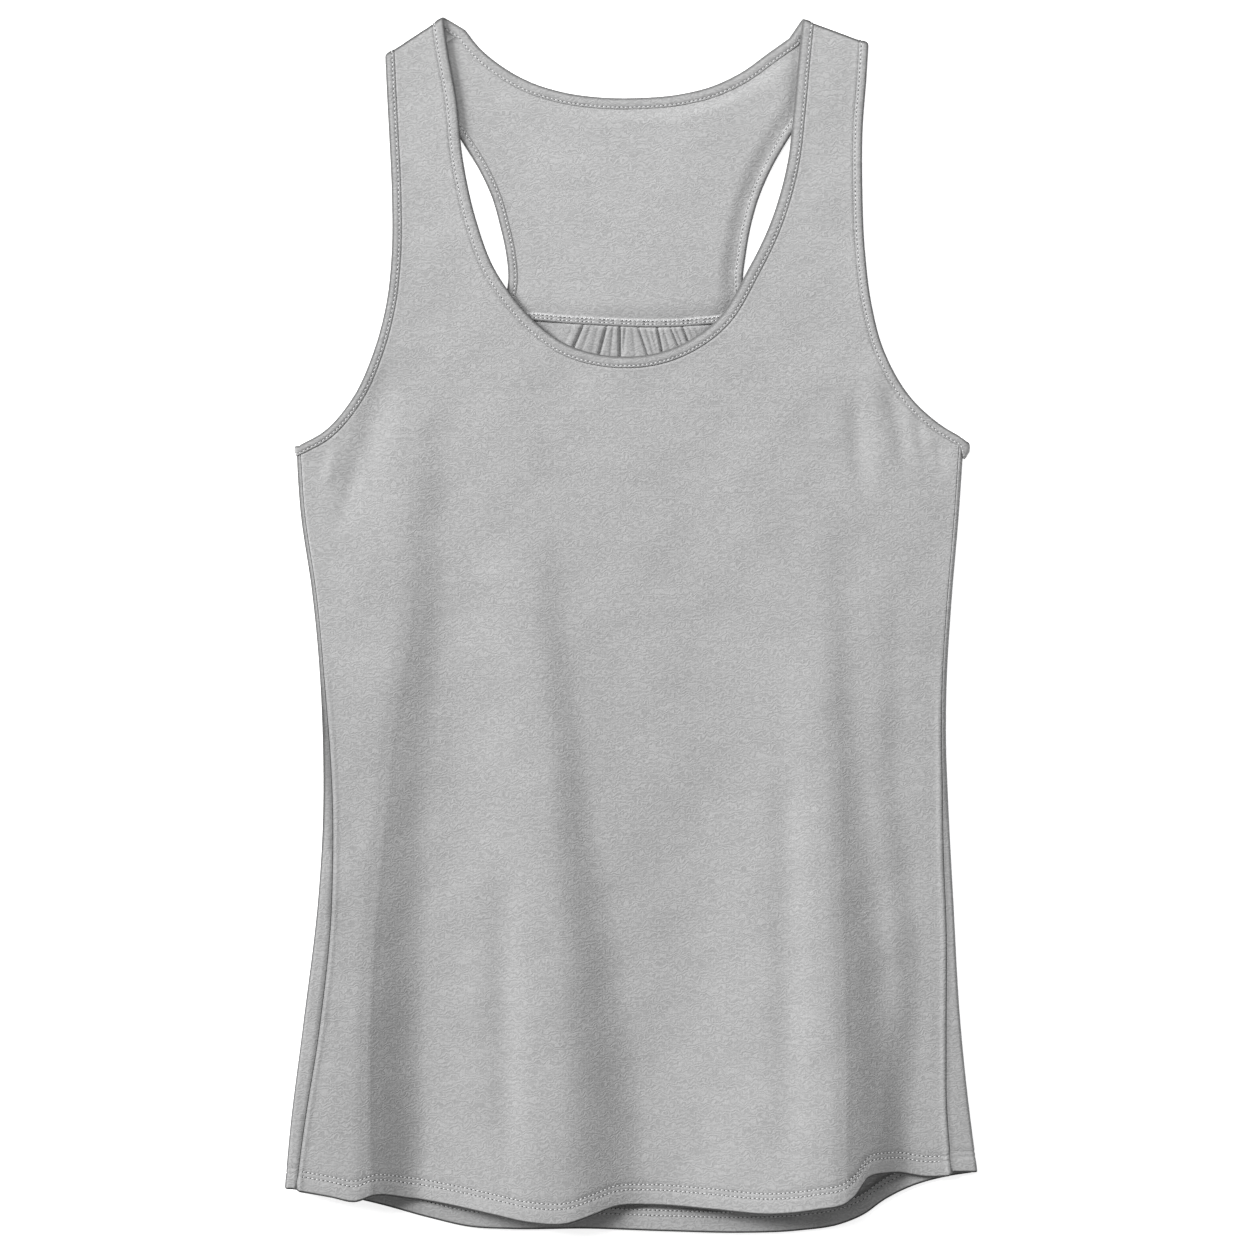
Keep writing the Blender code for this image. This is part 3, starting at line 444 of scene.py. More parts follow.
def rippled(x, y):
    """Height of the cloth's faint unevenness, along lines that sway."""
    bent_x, bent_y = x, y
    for sway, down, across in ((LONG_SWAY, y, x), (SHORT_SWAY, x - y, x + y)):
        bent_x = bent_x + sway.reach * np.sin(down / sway.x_length + sway.x_start)
        bent_y = bent_y + sway.reach * np.sin(across / sway.y_length + sway.y_start)
    total = np.zeros_like(x)
    for ripple in RIPPLES:
        turn = math.radians(ripple.angle)
        along = bent_x * math.cos(turn) + bent_y * math.sin(turn)
        total += ripple.height * np.sin(along / ripple.length * 2 * math.pi + ripple.phase)
    return total


def flutes(x, y):
    """Height of the front's long folds, whose crests are sharper on their steep side."""
    total = np.zeros_like(x)
    for table, sharpness, lip in zip(FLUTES, CREST_SHARPNESS, LIPS):
        offset = x - column(table, "crest", y)
        width = np.where(offset < 0, column(table, "gentle", y), column(table, "steep", y))
        share = np.clip(np.abs(offset) / width, 0.0, 1.0)
        sharp = np.where(offset < 0, 0.0, sharpness)
        form = (1 - sharp) * np.cos(share * math.pi / 2) ** 2 + sharp * (1 - share) ** 2
        if lip:
            form = form + lip.height * bell(offset - lip.place, LIP_WIDTH)
        total += column(table, "height", y) * form
    return total


def front_relief(x, y):
    """How far the front stands over its level: the long folds, the side seams' ridges, and the creases."""
    beside = np.minimum(x + seam_x(-1, y), seam_x(1, y) - x)
    before = -past_shoulders(np.column_stack([x, y]))
    plain = ease(beside / SIDE_CALM) * ease(before / SHOULDER_CALM)
    ridge = RIDGE_HEIGHT * ease(-y / RIDGE_START) * bell(beside - RIDGE_PLACE, RIDGE_WIDTH)
    return flutes(x, y) + ridge + plain * (creased(x, y, FRONT_CREASES) + rippled(x, y))


def gathered(x, y):
    """Height of the gathers: rounded bulges between narrow troughs that lean apart below the seam."""
    down = np.maximum(-over_line(np.column_stack([x, y]), YOKE_SEAM), 0.0)
    places = np.stack([pleat.x + pleat.lean * down for pleat in PLEATS])
    bulges = np.zeros_like(x)
    for left, right in zip(places, places[1:]):
        wide = np.maximum(right - left, SAME)
        share = np.clip((x - left) / wide, 0.0, 1.0)
        full = np.sqrt(np.minimum(wide / BULGE_WIDTH, 1.0))
        bulges += full * (4 * share * (1 - share)) ** BULGE_FULLNESS
    total = GATHER_HEIGHT * (ease((PLEATED.half - np.abs(x)) / GATHER_SIDES) + BULGE_SHARE * bulges)
    for pleat, place in zip(PLEATS, places):
        fading = ease(TROUGH_TAIL - down / (TROUGH_LENGTH * pleat.depth + TROUGH_LEAST))
        total -= TROUGH_DEPTH * pleat.depth ** 2 * fading * bell(x - place, TROUGH_WIDTH)
    return np.maximum(total, 0.0) * ease(GATHER_TAIL - down / GATHER_LENGTH) * ease(down / GATHER_START)


def back_relief(x, y):
    return creased(x, y, BACK_CREASES) + BACK_RIPPLES * (rippled(x, y) + RIPPLE_LIFT)


def yoke_slope(x, y):
    """The yoke rises a little to the right and falls off towards the strap there."""
    edge = through([point.y for point in STRAP_EDGE], [point.x for point in STRAP_EDGE], y)
    grown = ease((x - YOKE_RISE.start) / YOKE_RISE.width)
    fallen = ease((edge + YOKE_RISE.under - x) / YOKE_RISE.fall)
    return YOKE_RISE.height * grown * fallen * ease((YOKE_RISE.top - y) / YOKE_RISE.fade)


# Places

def place_front(flat, out, low=BACK_LEVEL):
    """Carries the front's layout to its place, over the shoulder folds at its top."""
    flat = np.asarray(flat, float)
    x, y = flat.T
    lean_x = (front_relief(x + PROBE, y) - front_relief(x - PROBE, y)) / (2 * PROBE)
    lean_y = (front_relief(x, y + PROBE) - front_relief(x, y - PROBE)) / (2 * PROBE)
    steep = np.sqrt(1 + lean_x ** 2 + lean_y ** 2)
    up = FRONT_LEVEL + front_relief(x, y) + out / steep
    place = np.stack([x - out * lean_x / steep, y - out * lean_y / steep, up], axis=1)
    for side, sign in SIDES.items():
        _, _, past = shoulder_frame(side)
        distance = past_shoulder(side, flat)
        rolled = (distance > 0) & (x * sign > 0)
        across, up = over_fold(distance, out, low)
        moved = flat + np.outer(across - distance, past)
        place[rolled, :2] = moved[rolled]
        place[rolled, 2] = up[rolled]
    return place


def place_back(flat, out, low=BACK_LEVEL):
    """Lays a layout down as it is, with its outside towards the table."""
    flat = np.asarray(flat, float)
    return np.column_stack([flat, np.broadcast_to(low - out, len(flat))])


def side_axis(side, y):
    """Distance of a side fold's axis from the middle."""
    table = LEFT_SIDE if side < 0 else RIGHT_SIDE
    return column(table, "width", y) - FOLD_EDGE


def seam_overlap(side, y):
    """How far the side seam lies inside the fold's axis, on the front."""
    return column(SEAM_INSETS, "left" if side < 0 else "right", y) - FOLD_EDGE


def seam_x(side, y):
    """The side seam's distance from the middle."""
    return side_axis(side, y) - seam_overlap(side, y)


def place_side(side, past, y, out, low=BACK_LEVEL):
    """Round a side fold, whose loop stands as high as the front's long folds reach there."""
    lift = flutes(side * (side_axis(side, y) + np.minimum(past, 0.0)), y)
    across, up = over_fold(past, out, low, lift)
    return np.column_stack([side * (side_axis(side, y) + across), y, up])


def straighten(flat):
    """Takes places on the surface to the lower back's straightened layout."""
    flat = np.asarray(flat, float)
    axis = np.where(flat[:, 0] < 0, side_axis(-1, flat[:, 1]), side_axis(1, flat[:, 1]))
    return np.column_stack([flat[:, 0] / axis * SPREAD, flat[:, 1]])


def bent_back(flat):
    """The opposite of straighten."""
    spread, y = np.asarray(flat, float).T
    axis = np.where(spread < 0, side_axis(-1, y), side_axis(1, y))
    return np.column_stack([spread / SPREAD * axis, y])


def into_bindings(plan, lines):
    """How near points are to the back's bindings, whose fold holds the cloth a little higher."""
    nearest = np.min([row_clearance(plan, line) for line in lines], axis=0)
    return ease((BINDING_CALM - nearest) / BINDING_SLOPE)


def bound_level(near):
    """The level of the back's cloth, which near a binding is the middle of the binding's."""
    return BACK_LEVEL + (BAND / 2 - BACK_LEVEL) * near


def yoke_placer(lines):
    """A function that carries the yoke's layout to its place, with the lines of its bound edges."""
    def place(flat, out):
        near = into_bindings(flat, lines)
        x, y = np.asarray(flat, float).T
        free = (1 - near) * ease(over_line(flat, YOKE_SEAM) / YOKE_CALM)
        rise = free * (YOKE_RIPPLES * (rippled(x, y) + RIPPLE_LIFT) + yoke_slope(x, y))
        return place_back(flat, out - rise, bound_level(near))
    return place


def lower_placer(lines):
    """The same for the lower back's straightened layout, which goes round both side folds."""
    def place(flat, out):
        spread, y = np.asarray(flat, float).T
        out = np.broadcast_to(out, spread.shape)
        plan = bent_back(flat)
        near = into_bindings(plan, lines)
        low = bound_level(near)
        inner = ease((SPREAD - np.abs(spread)) / FOLD_CALM) * (1 - near)
        plain = ease(-over_line(plan, YOKE_SEAM) / LOWER_CALM)
        rise = inner * (gathered(*plan.T) + back_relief(*plan.T) * plain)
        placed = place_back(plan, out - rise, low)
        for side in ARMS:
            rolled = spread * side > SPREAD
            past = FOLD_ARC - (spread[rolled] * side - SPREAD)
            placed[rolled] = place_side(side, past, y[rolled], out[rolled], low[rolled])
        return placed
    return place


# Bound edges: the points of a cut edge, and at each the way into the panel for one unit of width

Edge = namedtuple("Edge", "points inward")


def bound_edge(points, on_left, shoulders, steady):
    """An edge whose cross-sections turn to lie along the shoulder folds that it meets."""
    square = left_of(points) * (1 if on_left else -1)
    mixed = square.copy()
    for side, way in shoulders:
        _, along, _ = shoulder_frame(side)
        share = ease((past_shoulder(side, points) + steady + TURN_REACH) / TURN_REACH)[:, None]
        near = (points[:, 0] * SIDES[side] > 0)[:, None]
        mixed = np.where(near, unit(mixed * (1 - share) + along * way * share), mixed)
    inward = mixed / np.sum(mixed * square, axis=1, keepdims=True)
    return Edge(points, inward)


def roll_stops(side, end, before):
    """Points of an edge's layout across a shoulder fold, from its last two points before the fold."""
    _, _, past = shoulder_frame(side)
    ahead = unit(end - before)
    first = past_shoulder(side, end[None])[0]
    return np.array([end + ahead * (stop - first) / (ahead @ past) for stop in SHOULDER_STOPS])


def over_shoulders(table, step, start=None, end=None):
    """A front edge's points, with those that carry it over the shoulder fold at either end."""
    points = curve(table, step)
    first, last = np.array(table[:2]), np.array(table[-2:])
    for side in filter(None, (start, end)):
        near = (points[:, 0] < 0) == (side == "left")
        points = points[~(near & (past_shoulder(side, points) > -STEADY - FREE_SHARE * step))]
    head = roll_stops(start, first[0], first[1])[::-1] if start else np.empty((0, 2))
    tail = roll_stops(end, last[1], last[0]) if end else np.empty((0, 2))
    return np.vstack([head, points, tail])


def seam_end(table, side, at_start):
    """Where an edge of the front meets the shoulder seam on the back."""
    ends = np.array(table[:2])[::-1] if at_start else np.array(table[-2:])
    stop = roll_stops(side, ends[1], ends[0])[-1]
    return place_front(stop[None], np.zeros(1))[0][:2]


def front_edges(step):
    """The front's bound edges, anticlockwise, with what carries them over the shoulders."""
    neck = over_shoulders(FRONT_NECK, step, start="right", end="left")
    left = over_shoulders(FRONT_ARM_LEFT, step, start="left")
    right = over_shoulders(FRONT_ARM_RIGHT, step, end="right")
    return {
        "neck": bound_edge(neck, True, (("left", 1), ("right", 1)), STEADY),
        "arm_left": bound_edge(left, True, (("left", -1),), STEADY),
        "arm_right": bound_edge(right, True, (("right", -1),), STEADY),
    }


def back_edges(step):
    """The back's edges from seam to seam: the neck left to right, the armholes shoulder to underarm."""
    neck_left = seam_end(FRONT_NECK, "left", at_start=False)
    neck_right = seam_end(FRONT_NECK, "right", at_start=True)
    arm_left = seam_end(FRONT_ARM_LEFT, "left", at_start=True)
    arm_right = seam_end(FRONT_ARM_RIGHT, "right", at_start=False)
    neck = curve([neck_left, *YOKE_NECK, neck_right], step)
    left = curve([arm_left, *YOKE_ARM_LEFT, *LOWER_ARM_LEFT], step)
    right = curve([*LOWER_ARM_RIGHT, *YOKE_ARM_RIGHT, arm_right], step)[::-1]
    down = SHOULDER_SEAM - FOLD_ARC
    edges = {
        "neck": bound_edge(neck, False, (("left", 1), ("right", 1)), down),
        "arm_left": bound_edge(left, True, (("left", -1),), down),
        "arm_right": bound_edge(right, False, (("right", -1),), down),
    }
    front = front_edges(step)
    met = (("neck", 0, -1), ("neck", -1, 0), ("arm_left", 0, 0), ("arm_right", 0, -1))
    for name, here, there in met:
        edges[name].inward[here] = front[name].inward[there]
    return edges


def moved_in(edge, distance):
    """An edge's line, moved into the panel."""
    return edge.points + edge.inward * distance


# Meshes

def add_object(name, mesh, material, slot):
    """A piece that rides the part's one body."""
    item = bpy.data.objects.new(name, mesh)
    bpy.context.collection.objects.link(item)
    mesh.materials.append(material)
    mesh.shade_smooth()
    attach(item, "root")
    return item


def closed_mesh(name, points, faces):
    """A mesh in metres with its faces turned outwards, pressed flat where it lies on the table."""
    points = np.array(points)
    points[:, 2] = np.maximum(points[:, 2], 0.0)
    mesh = bpy.data.meshes.new(name)
    mesh.from_pydata((points * MM).tolist(), [], faces)
    shell = bmesh.new()
    shell.from_mesh(mesh)
    bmesh.ops.recalc_face_normals(shell, faces=shell.faces)
    shell.to_mesh(mesh)
    shell.free()
    return mesh


Layout = namedtuple("Layout", "points lines rim")


def laid_out(outline, loose, rows, clear):
    """A flat layout: its points, and the lines to keep in it, of which the first ones are its rim."""
    outline = np.array(outline)
    points = list(outline)
    lines = [(i, (i + 1) % len(points)) for i in range(len(points))]
    rim = len(lines)
    for row in rows:
        row = np.asarray(row, float)
        if not len(row):
            continue
        within = inside(row, outline) & (clearance(row, outline) > clear / 4)
        found = []
        for point, free in zip(row, within):
            same = np.flatnonzero(np.linalg.norm(outline - point, axis=1) < SAME)
            if len(same):
                found.append(int(same[0]))
            elif free:
                found.append(len(points))
                points.append(point)
        lines += list(zip(found, found[1:]))
        loose = loose[row_clearance(loose, row) > clear]
    loose = loose[inside(loose, outline) & (clearance(loose, outline) > clear)]
    return Layout(np.vstack([points, loose]), lines, rim)


RIM_TURNS = (0.25, 0.5, 0.75)  # where the rim's rows of points lie on its half circle
CORNER_ROOM = 1.0  # between the lines that meet at a layout's corner
STRAP_POINTS = 14  # across a strap, where it goes over its shoulder
FRONT_CLEAR = 0.62 * STEP  # how near loose points come to a layout's lines
LOWER_CLEAR = 0.5 * BACK_STEP
YOKE_CLEAR = 0.4 * BACK_STEP
PLEAT_CLEAR = 0.5 * PLEAT_STEP
COARSE_PLEATS = 2.5 * PLEAT_STEP  # the gathers' points where the front hides them

Fade = namedtuple("Fade", "start width")

# The painted shade along edges: its width, of which the core is darkest, and how dark it is, up to one
EDGE_SHADE_CORE = 0.7
EDGE_SHADE_WIDTH = 1.6
SIDE_SHADE = {-1: 1.0, 1: 0.3}  # painted shade along the side folds, stronger on the left, whose rim the key lamp lights most
SEAM_SHADE = 0.42  # painted shade along cut edges at the seams
SEAM_SHADE_FADE = Fade(start=40.0, width=120.0)  # painted shade in the side seams, which lie open, only from here down
BAND_SHADE = 0.75  # painted shade along the bindings' folds
SHOULDER_SHADE_WIDER = 1.5  # how much wider the painted shade is along a shoulder's fold
LEFT_SHADE_WIDER = (1.2, 0.8)  # and along the left side fold, at its foot and added at its top
LEFT_SHADE_RISE = Fade(start=-150.0, width=100.0)  # where it widens
GATHER_SHADE = 0.17  # painted shade on the cloth where it is gathered into its seam, as dark as this
GATHER_SHADE_REACH = 36.0  # below the seam
GATHER_SHADE_MARGIN = 24.0  # beside the pleated stretch
GATHER_SHADE_FADE = 8.0


def paint_edge_shade(item, edge):
    """Keeps the painted shade at each point along its cloth's edges, from 0 to 1, for the material to
    read.
    """
    layer = item.data.attributes.new("edge", "FLOAT", "POINT")
    layer.data.foreach_set("value", edge)


def edge_shade_share(inwards):
    """How much painted shade points get from a folded edge, from 0 to 1, by their distance inwards from
    it.
    """
    return np.clip((EDGE_SHADE_WIDTH - inwards) / (EDGE_SHADE_WIDTH - EDGE_SHADE_CORE), 0.0, 1.0)


def fold_shade_share(past, wider=1.0):
    """Painted shade on a fold, from 0 to 1, darkest at its outermost line, by distance past its axis."""
    return edge_shade_share(FOLD_EDGE * (1 - np.sin(np.clip(past / FOLD_RADIUS, 0.0, math.pi))) / wider)


# No painted shade along any fold.
def no_fold_shade(flat):
    return np.zeros(len(flat))


def quads(rings):
    """Faces between rings of point numbers."""
    faces = []
    for upper, lower in zip(rings, rings[1:]):
        corners = (upper, lower, np.roll(lower, -1), np.roll(upper, -1))
        faces += np.stack(corners, axis=1).tolist()
    return faces


def seam_rim_shade(flat, hem=None):
    """The painted shade on a panel's rim: its hem most of all, and its side seams only where they lie
    open.
    """
    seam = SEAM_SHADE * ease((SEAM_SHADE_FADE.start - flat[:, 1]) / SEAM_SHADE_FADE.width)
    return seam if hem is None else np.where(over_line(flat, hem) < HEM_RIM, 1.0, seam)


def shell(name, layout, place, top, bottom, material, slot, folded=no_fold_shade, rim=seam_rim_shade):
    """A sheet of cloth: its layout filled with triangles, both its faces, and a rounded rim.

    The functions folded and rim give the painted shade along its folds and its rim.
    """
    corners = [Vector(point) for point in layout.points]
    found = delaunay_2d_cdt(corners, layout.lines, [], FILL_WITHIN, MERGE)
    flat = np.array([tuple(point) for point in found[0]])
    triangles = [tuple(face) for face in found[2]]
    at = {old: new for new, ids in enumerate(found[3]) for old in ids}
    ring = np.array([at[i] for i, _ in layout.lines[:layout.rim]])
    total, size = len(flat), len(ring)
    high, low = np.broadcast_to(top(flat), total), np.broadcast_to(bottom(flat), total)
    points = [place(flat, high), place(flat, low)]
    edge = flat[ring]
    ahead = unit(np.roll(edge, -1, axis=0) - np.roll(edge, 1, axis=0))
    outward = np.column_stack([ahead[:, 1], -ahead[:, 0]])
    middle, half = (high[ring] + low[ring]) / 2, (high[ring] - low[ring]) / 2
    for turn in RIM_TURNS:
        angle = turn * math.pi
        beyond = edge + outward * (half * math.sin(angle))[:, None]
        points.append(place(beyond, middle + half * math.cos(angle)))
    faces = triangles + [(c + total, b + total, a + total) for a, b, c in triangles]
    turned = [2 * total + k * size + np.arange(size) for k in range(len(RIM_TURNS))]
    faces += quads([ring, *turned, ring + total])
    item = add_object(name, closed_mesh(name, np.vstack(points), faces), material, slot)
    # The painted shade, along folds and the rim, for the material.
    near = folded(flat)
    near[ring] = rim(edge)
    paint_edge_shade(item, np.concatenate([near, near, *[near[ring]] * len(RIM_TURNS)]))
    return item


def grid_points(half, bottom, top, step):
    """Loose points in offset rows over a rectangle of a layout."""
    rows = []
    for count, y in enumerate(np.arange(bottom, top, step)):
        x = np.arange(-half, half, step) + (count % 2) * step / 2
        rows.append(np.column_stack([x, np.full(len(x), y)]))
    return np.vstack(rows)


# Panels

# The rectangles that loose points fill: half width, bottom and top
FRONT_GRID = (196.0, -346.0, 360.0)
LOWER_GRID = (SPREAD - 2.0, -352.0, 180.0)
YOKE_GRID = (126.0, 170.0, 345.0)
FOLD_ROOM = 1.2  # between a side fold's rows and the points beside them
FOLD_STEP = 1.8
HEM_CORNER = 1.5  # between the back hem's points and its folds
INNER_DIP = 0.6  # how far stitches pull in a hem's inner side, as a share of its outer one


def side_heights(side, hem, step):
    """Heights of the points along a side seam, from the armhole binding to the hem."""
    top = UNDERARM[side] - TUCK
    bottom = hem[0 if side < 0 else -1].y
    return np.linspace(top, bottom, round((top - bottom) / step) + 1)


def hem_line(table, left, right):
    """A hem's fine points between two places."""
    line = curve(table, HEM_STEP)
    return line[(line[:, 0] > left) & (line[:, 0] < right)]


HEM_ROWS = (1.2, 3.6, 6.0, 8.0, 8.9, 9.8, 11.0, 11.9, 12.4, 13.0)
NEEDLE_ROWS = (8.9, 11.9)  # how far over a hem's edge its two rows of stitches run
NEEDLE_DIP = 0.36
NEEDLE_REACH = 0.62
SEAM_ROWS = (1.0, 1.9, 2.8, 4.0)  # points beside a side seam
DITCH_ROWS = (0.1, 0.5, 1.0, 1.9)  # points beside a binding's inner edge
LIP_ROWS = (-1.6, 0.0, 1.2, 2.6)  # and beside a fold's lip
LIP_REACH = np.arange(20.0, -345.0, -STEP)  # the heights of the lips' points
HEM_ROUND = 0.6  # how far a hem's rounded rim reaches past its layout
HEM_RIM = 1.5  # a rim this near a hem's outline is the hem's own
HEM_ROOM = 2.0  # between a hem's rows and the points over them
LAYER_STEP = 0.5  # over how much the cloth steps down at a turned layer's cut edge
HEM_EDGE = HEM_DEPTH + 0.35  # that edge's height at a hem
WAVE_HEIGHT = 0.07  # of the small ripples that stitches leave in a hem
WAVE_LENGTH = 0.92  # for one radian, as the lengths of all waves here
WAVE_DRIFT = 1.3  # how far the ripples wander to and fro, in radians
WAVE_DRIFT_LENGTH = 7.0
WAVE_LEAN = 2.2  # what they take up the hem to move on by one radian
WAVE_ENDS = (4.0, 16.0)  # they fade out over the first of these heights, towards the edge and the second
DITCH_PLACE = 0.25
DITCH_DEPTH = 0.42
DITCH_REACH = 0.42
SWELL_HEIGHT = 0.26
SWELL_REACH = 1.9


def needle_dip(distance, rows=NEEDLE_ROWS):
    """How far stitches pull the cloth in, by distance from the edge that they run along."""
    return sum(NEEDLE_DIP * bell(distance - row, NEEDLE_REACH) for row in rows)


def turned_under(height, edge):
    """One where a turned layer lies on the cloth's inner side, up to its cut edge."""
    return ease((edge - height) / LAYER_STEP)


def hem_pucker(x, distance):
    """Small ripples that the stitches leave in the hem."""
    low, high = WAVE_ENDS
    within = ease(distance / low) * ease((high - distance) / low)
    drift = WAVE_DRIFT * np.sin(x / WAVE_DRIFT_LENGTH)
    return WAVE_HEIGHT * within * np.sin(x / WAVE_LENGTH + drift + distance / WAVE_LEAN)


def hem_rows(hem):
    """Points along a hem's stitches and its turned layer's edge, from its cut line up."""
    return [hem + (0, distance - HEM_ROUND) for distance in HEM_ROWS]


def lip_rows():
    """Points along the lips of the long folds."""
    rows = []
    for table, lip in zip(FLUTES, LIPS):
        if lip:
            crest = np.column_stack([column(table, "crest", LIP_REACH), LIP_REACH])
            crest = crest[over_line(crest, FRONT_HEM) > HEM_DEPTH + HEM_ROOM]
            rows += [crest + (lip.place + aside, 0) for aside in LIP_ROWS]
    return rows


def strap_rows(neck, arms):
    """Points across each strap, from neck to armhole, at each stop over its shoulder fold."""
    rows = []
    share = np.linspace(0.0, 1.0, STRAP_POINTS)[:, None]
    for i in range(1, len(SHOULDER_STOPS)):
        for start, end in ((neck[-1 - i], arms[-1][i]), (neck[i], arms[1][-1 - i])):
            rows.append(start * (1 - share) + end * share)
    return rows


def front_panel(material):
    """The front, with its straps over the shoulders and its hem's turned layer."""
    edges = front_edges(STEP)
    sides, arms = {}, {}
    for side, name in ARMS.items():
        heights = side_heights(side, FRONT_HEM, STEP)
        x = seam_x(side, heights) - WALL - SEAM_GAP / 2
        sides[side] = np.column_stack([side * x, heights])
        line = moved_in(edges[name], TUCK)
        arms[side] = line[np.abs(line[:, 0]) < x[0] - CORNER_ROOM]
    neck = moved_in(edges["neck"], TUCK)
    hem = hem_line(FRONT_HEM, sides[-1][-1][0] + CORNER_ROOM, sides[1][-1][0] - CORNER_ROOM)
    hem = hem + (0, HEM_ROUND)
    outline = np.vstack([sides[-1], hem, sides[1][::-1], arms[1], neck, arms[-1]])

    rows = hem_rows(hem) + lip_rows()
    rows += [line - (side * aside, 0) for side, line in sides.items() for aside in SEAM_ROWS]
    for name, width in WIDTHS.items():
        rows += [moved_in(edges[name], width + aside) for aside in DITCH_ROWS]
    rows += strap_rows(neck, arms)
    ditches = [moved_in(edges[name], width + DITCH_PLACE) for name, width in WIDTHS.items()]
    loose = grid_points(*FRONT_GRID, STEP)
    loose = loose[over_line(loose, FRONT_HEM) > HEM_DEPTH + HEM_STEP]
    fine = curve(FRONT_HEM, HEM_STEP)

    def top(flat):
        distance = over_line(flat, fine)
        beside = np.min([row_clearance(flat, ditch) for ditch in ditches], axis=0)
        swell = SWELL_HEIGHT * bell(beside, SWELL_REACH) - DITCH_DEPTH * bell(beside, DITCH_REACH)
        return WALL + swell - needle_dip(distance) + hem_pucker(flat[:, 0], distance)

    def bottom(flat):
        return -WALL - HEM_LAYER * turned_under(over_line(flat, fine), HEM_EDGE)

    def place(flat, out):
        low = np.full(len(flat), BACK_LEVEL)
        rolled = past_shoulders(flat) > 0
        low[rolled] = bound_level(into_bindings(flat[rolled], [edge.points for edge in edges.values()]))
        return place_front(flat, out, low)

    # Painted shade along the shoulder folds, and along the rim, where it is darkest at the hem.
    def folded(flat):
        return fold_shade_share(past_shoulders(flat), SHOULDER_SHADE_WIDER)

    def rim(flat):
        return seam_rim_shade(flat, fine)

    layout = laid_out(outline, loose, rows, FRONT_CLEAR)
    return shell("front_cloth", layout, place, top, bottom, material, "jersey", folded, rim)


def fold_columns(side, y, overlap):
    """Layout points across a side fold at one height, from its axis on the back to near the side seam."""
    first, last = FOLD_ARC + FOLD_ROOM, FOLD_ARC + overlap - CORNER_ROOM
    across = SPREAD + np.concatenate([ROLL, np.arange(first, last, FOLD_STEP)])
    return np.column_stack([side * across, np.full(len(across), y)])


def pleat_points():
    """Loose points for the gathers, which are finest where they show."""
    points = []
    for bottom, top, step in (
            (PLEATED.bottom, NECK_LOW, COARSE_PLEATS), (NECK_LOW, PLEATED.top, PLEAT_STEP)):
        for y in np.arange(bottom, top, 2 * step):
            x = np.arange(-PLEATED.half, PLEATED.half, step)
            points.append(np.column_stack([x, np.full(len(x), y)]))
    return straighten(np.vstack(points))


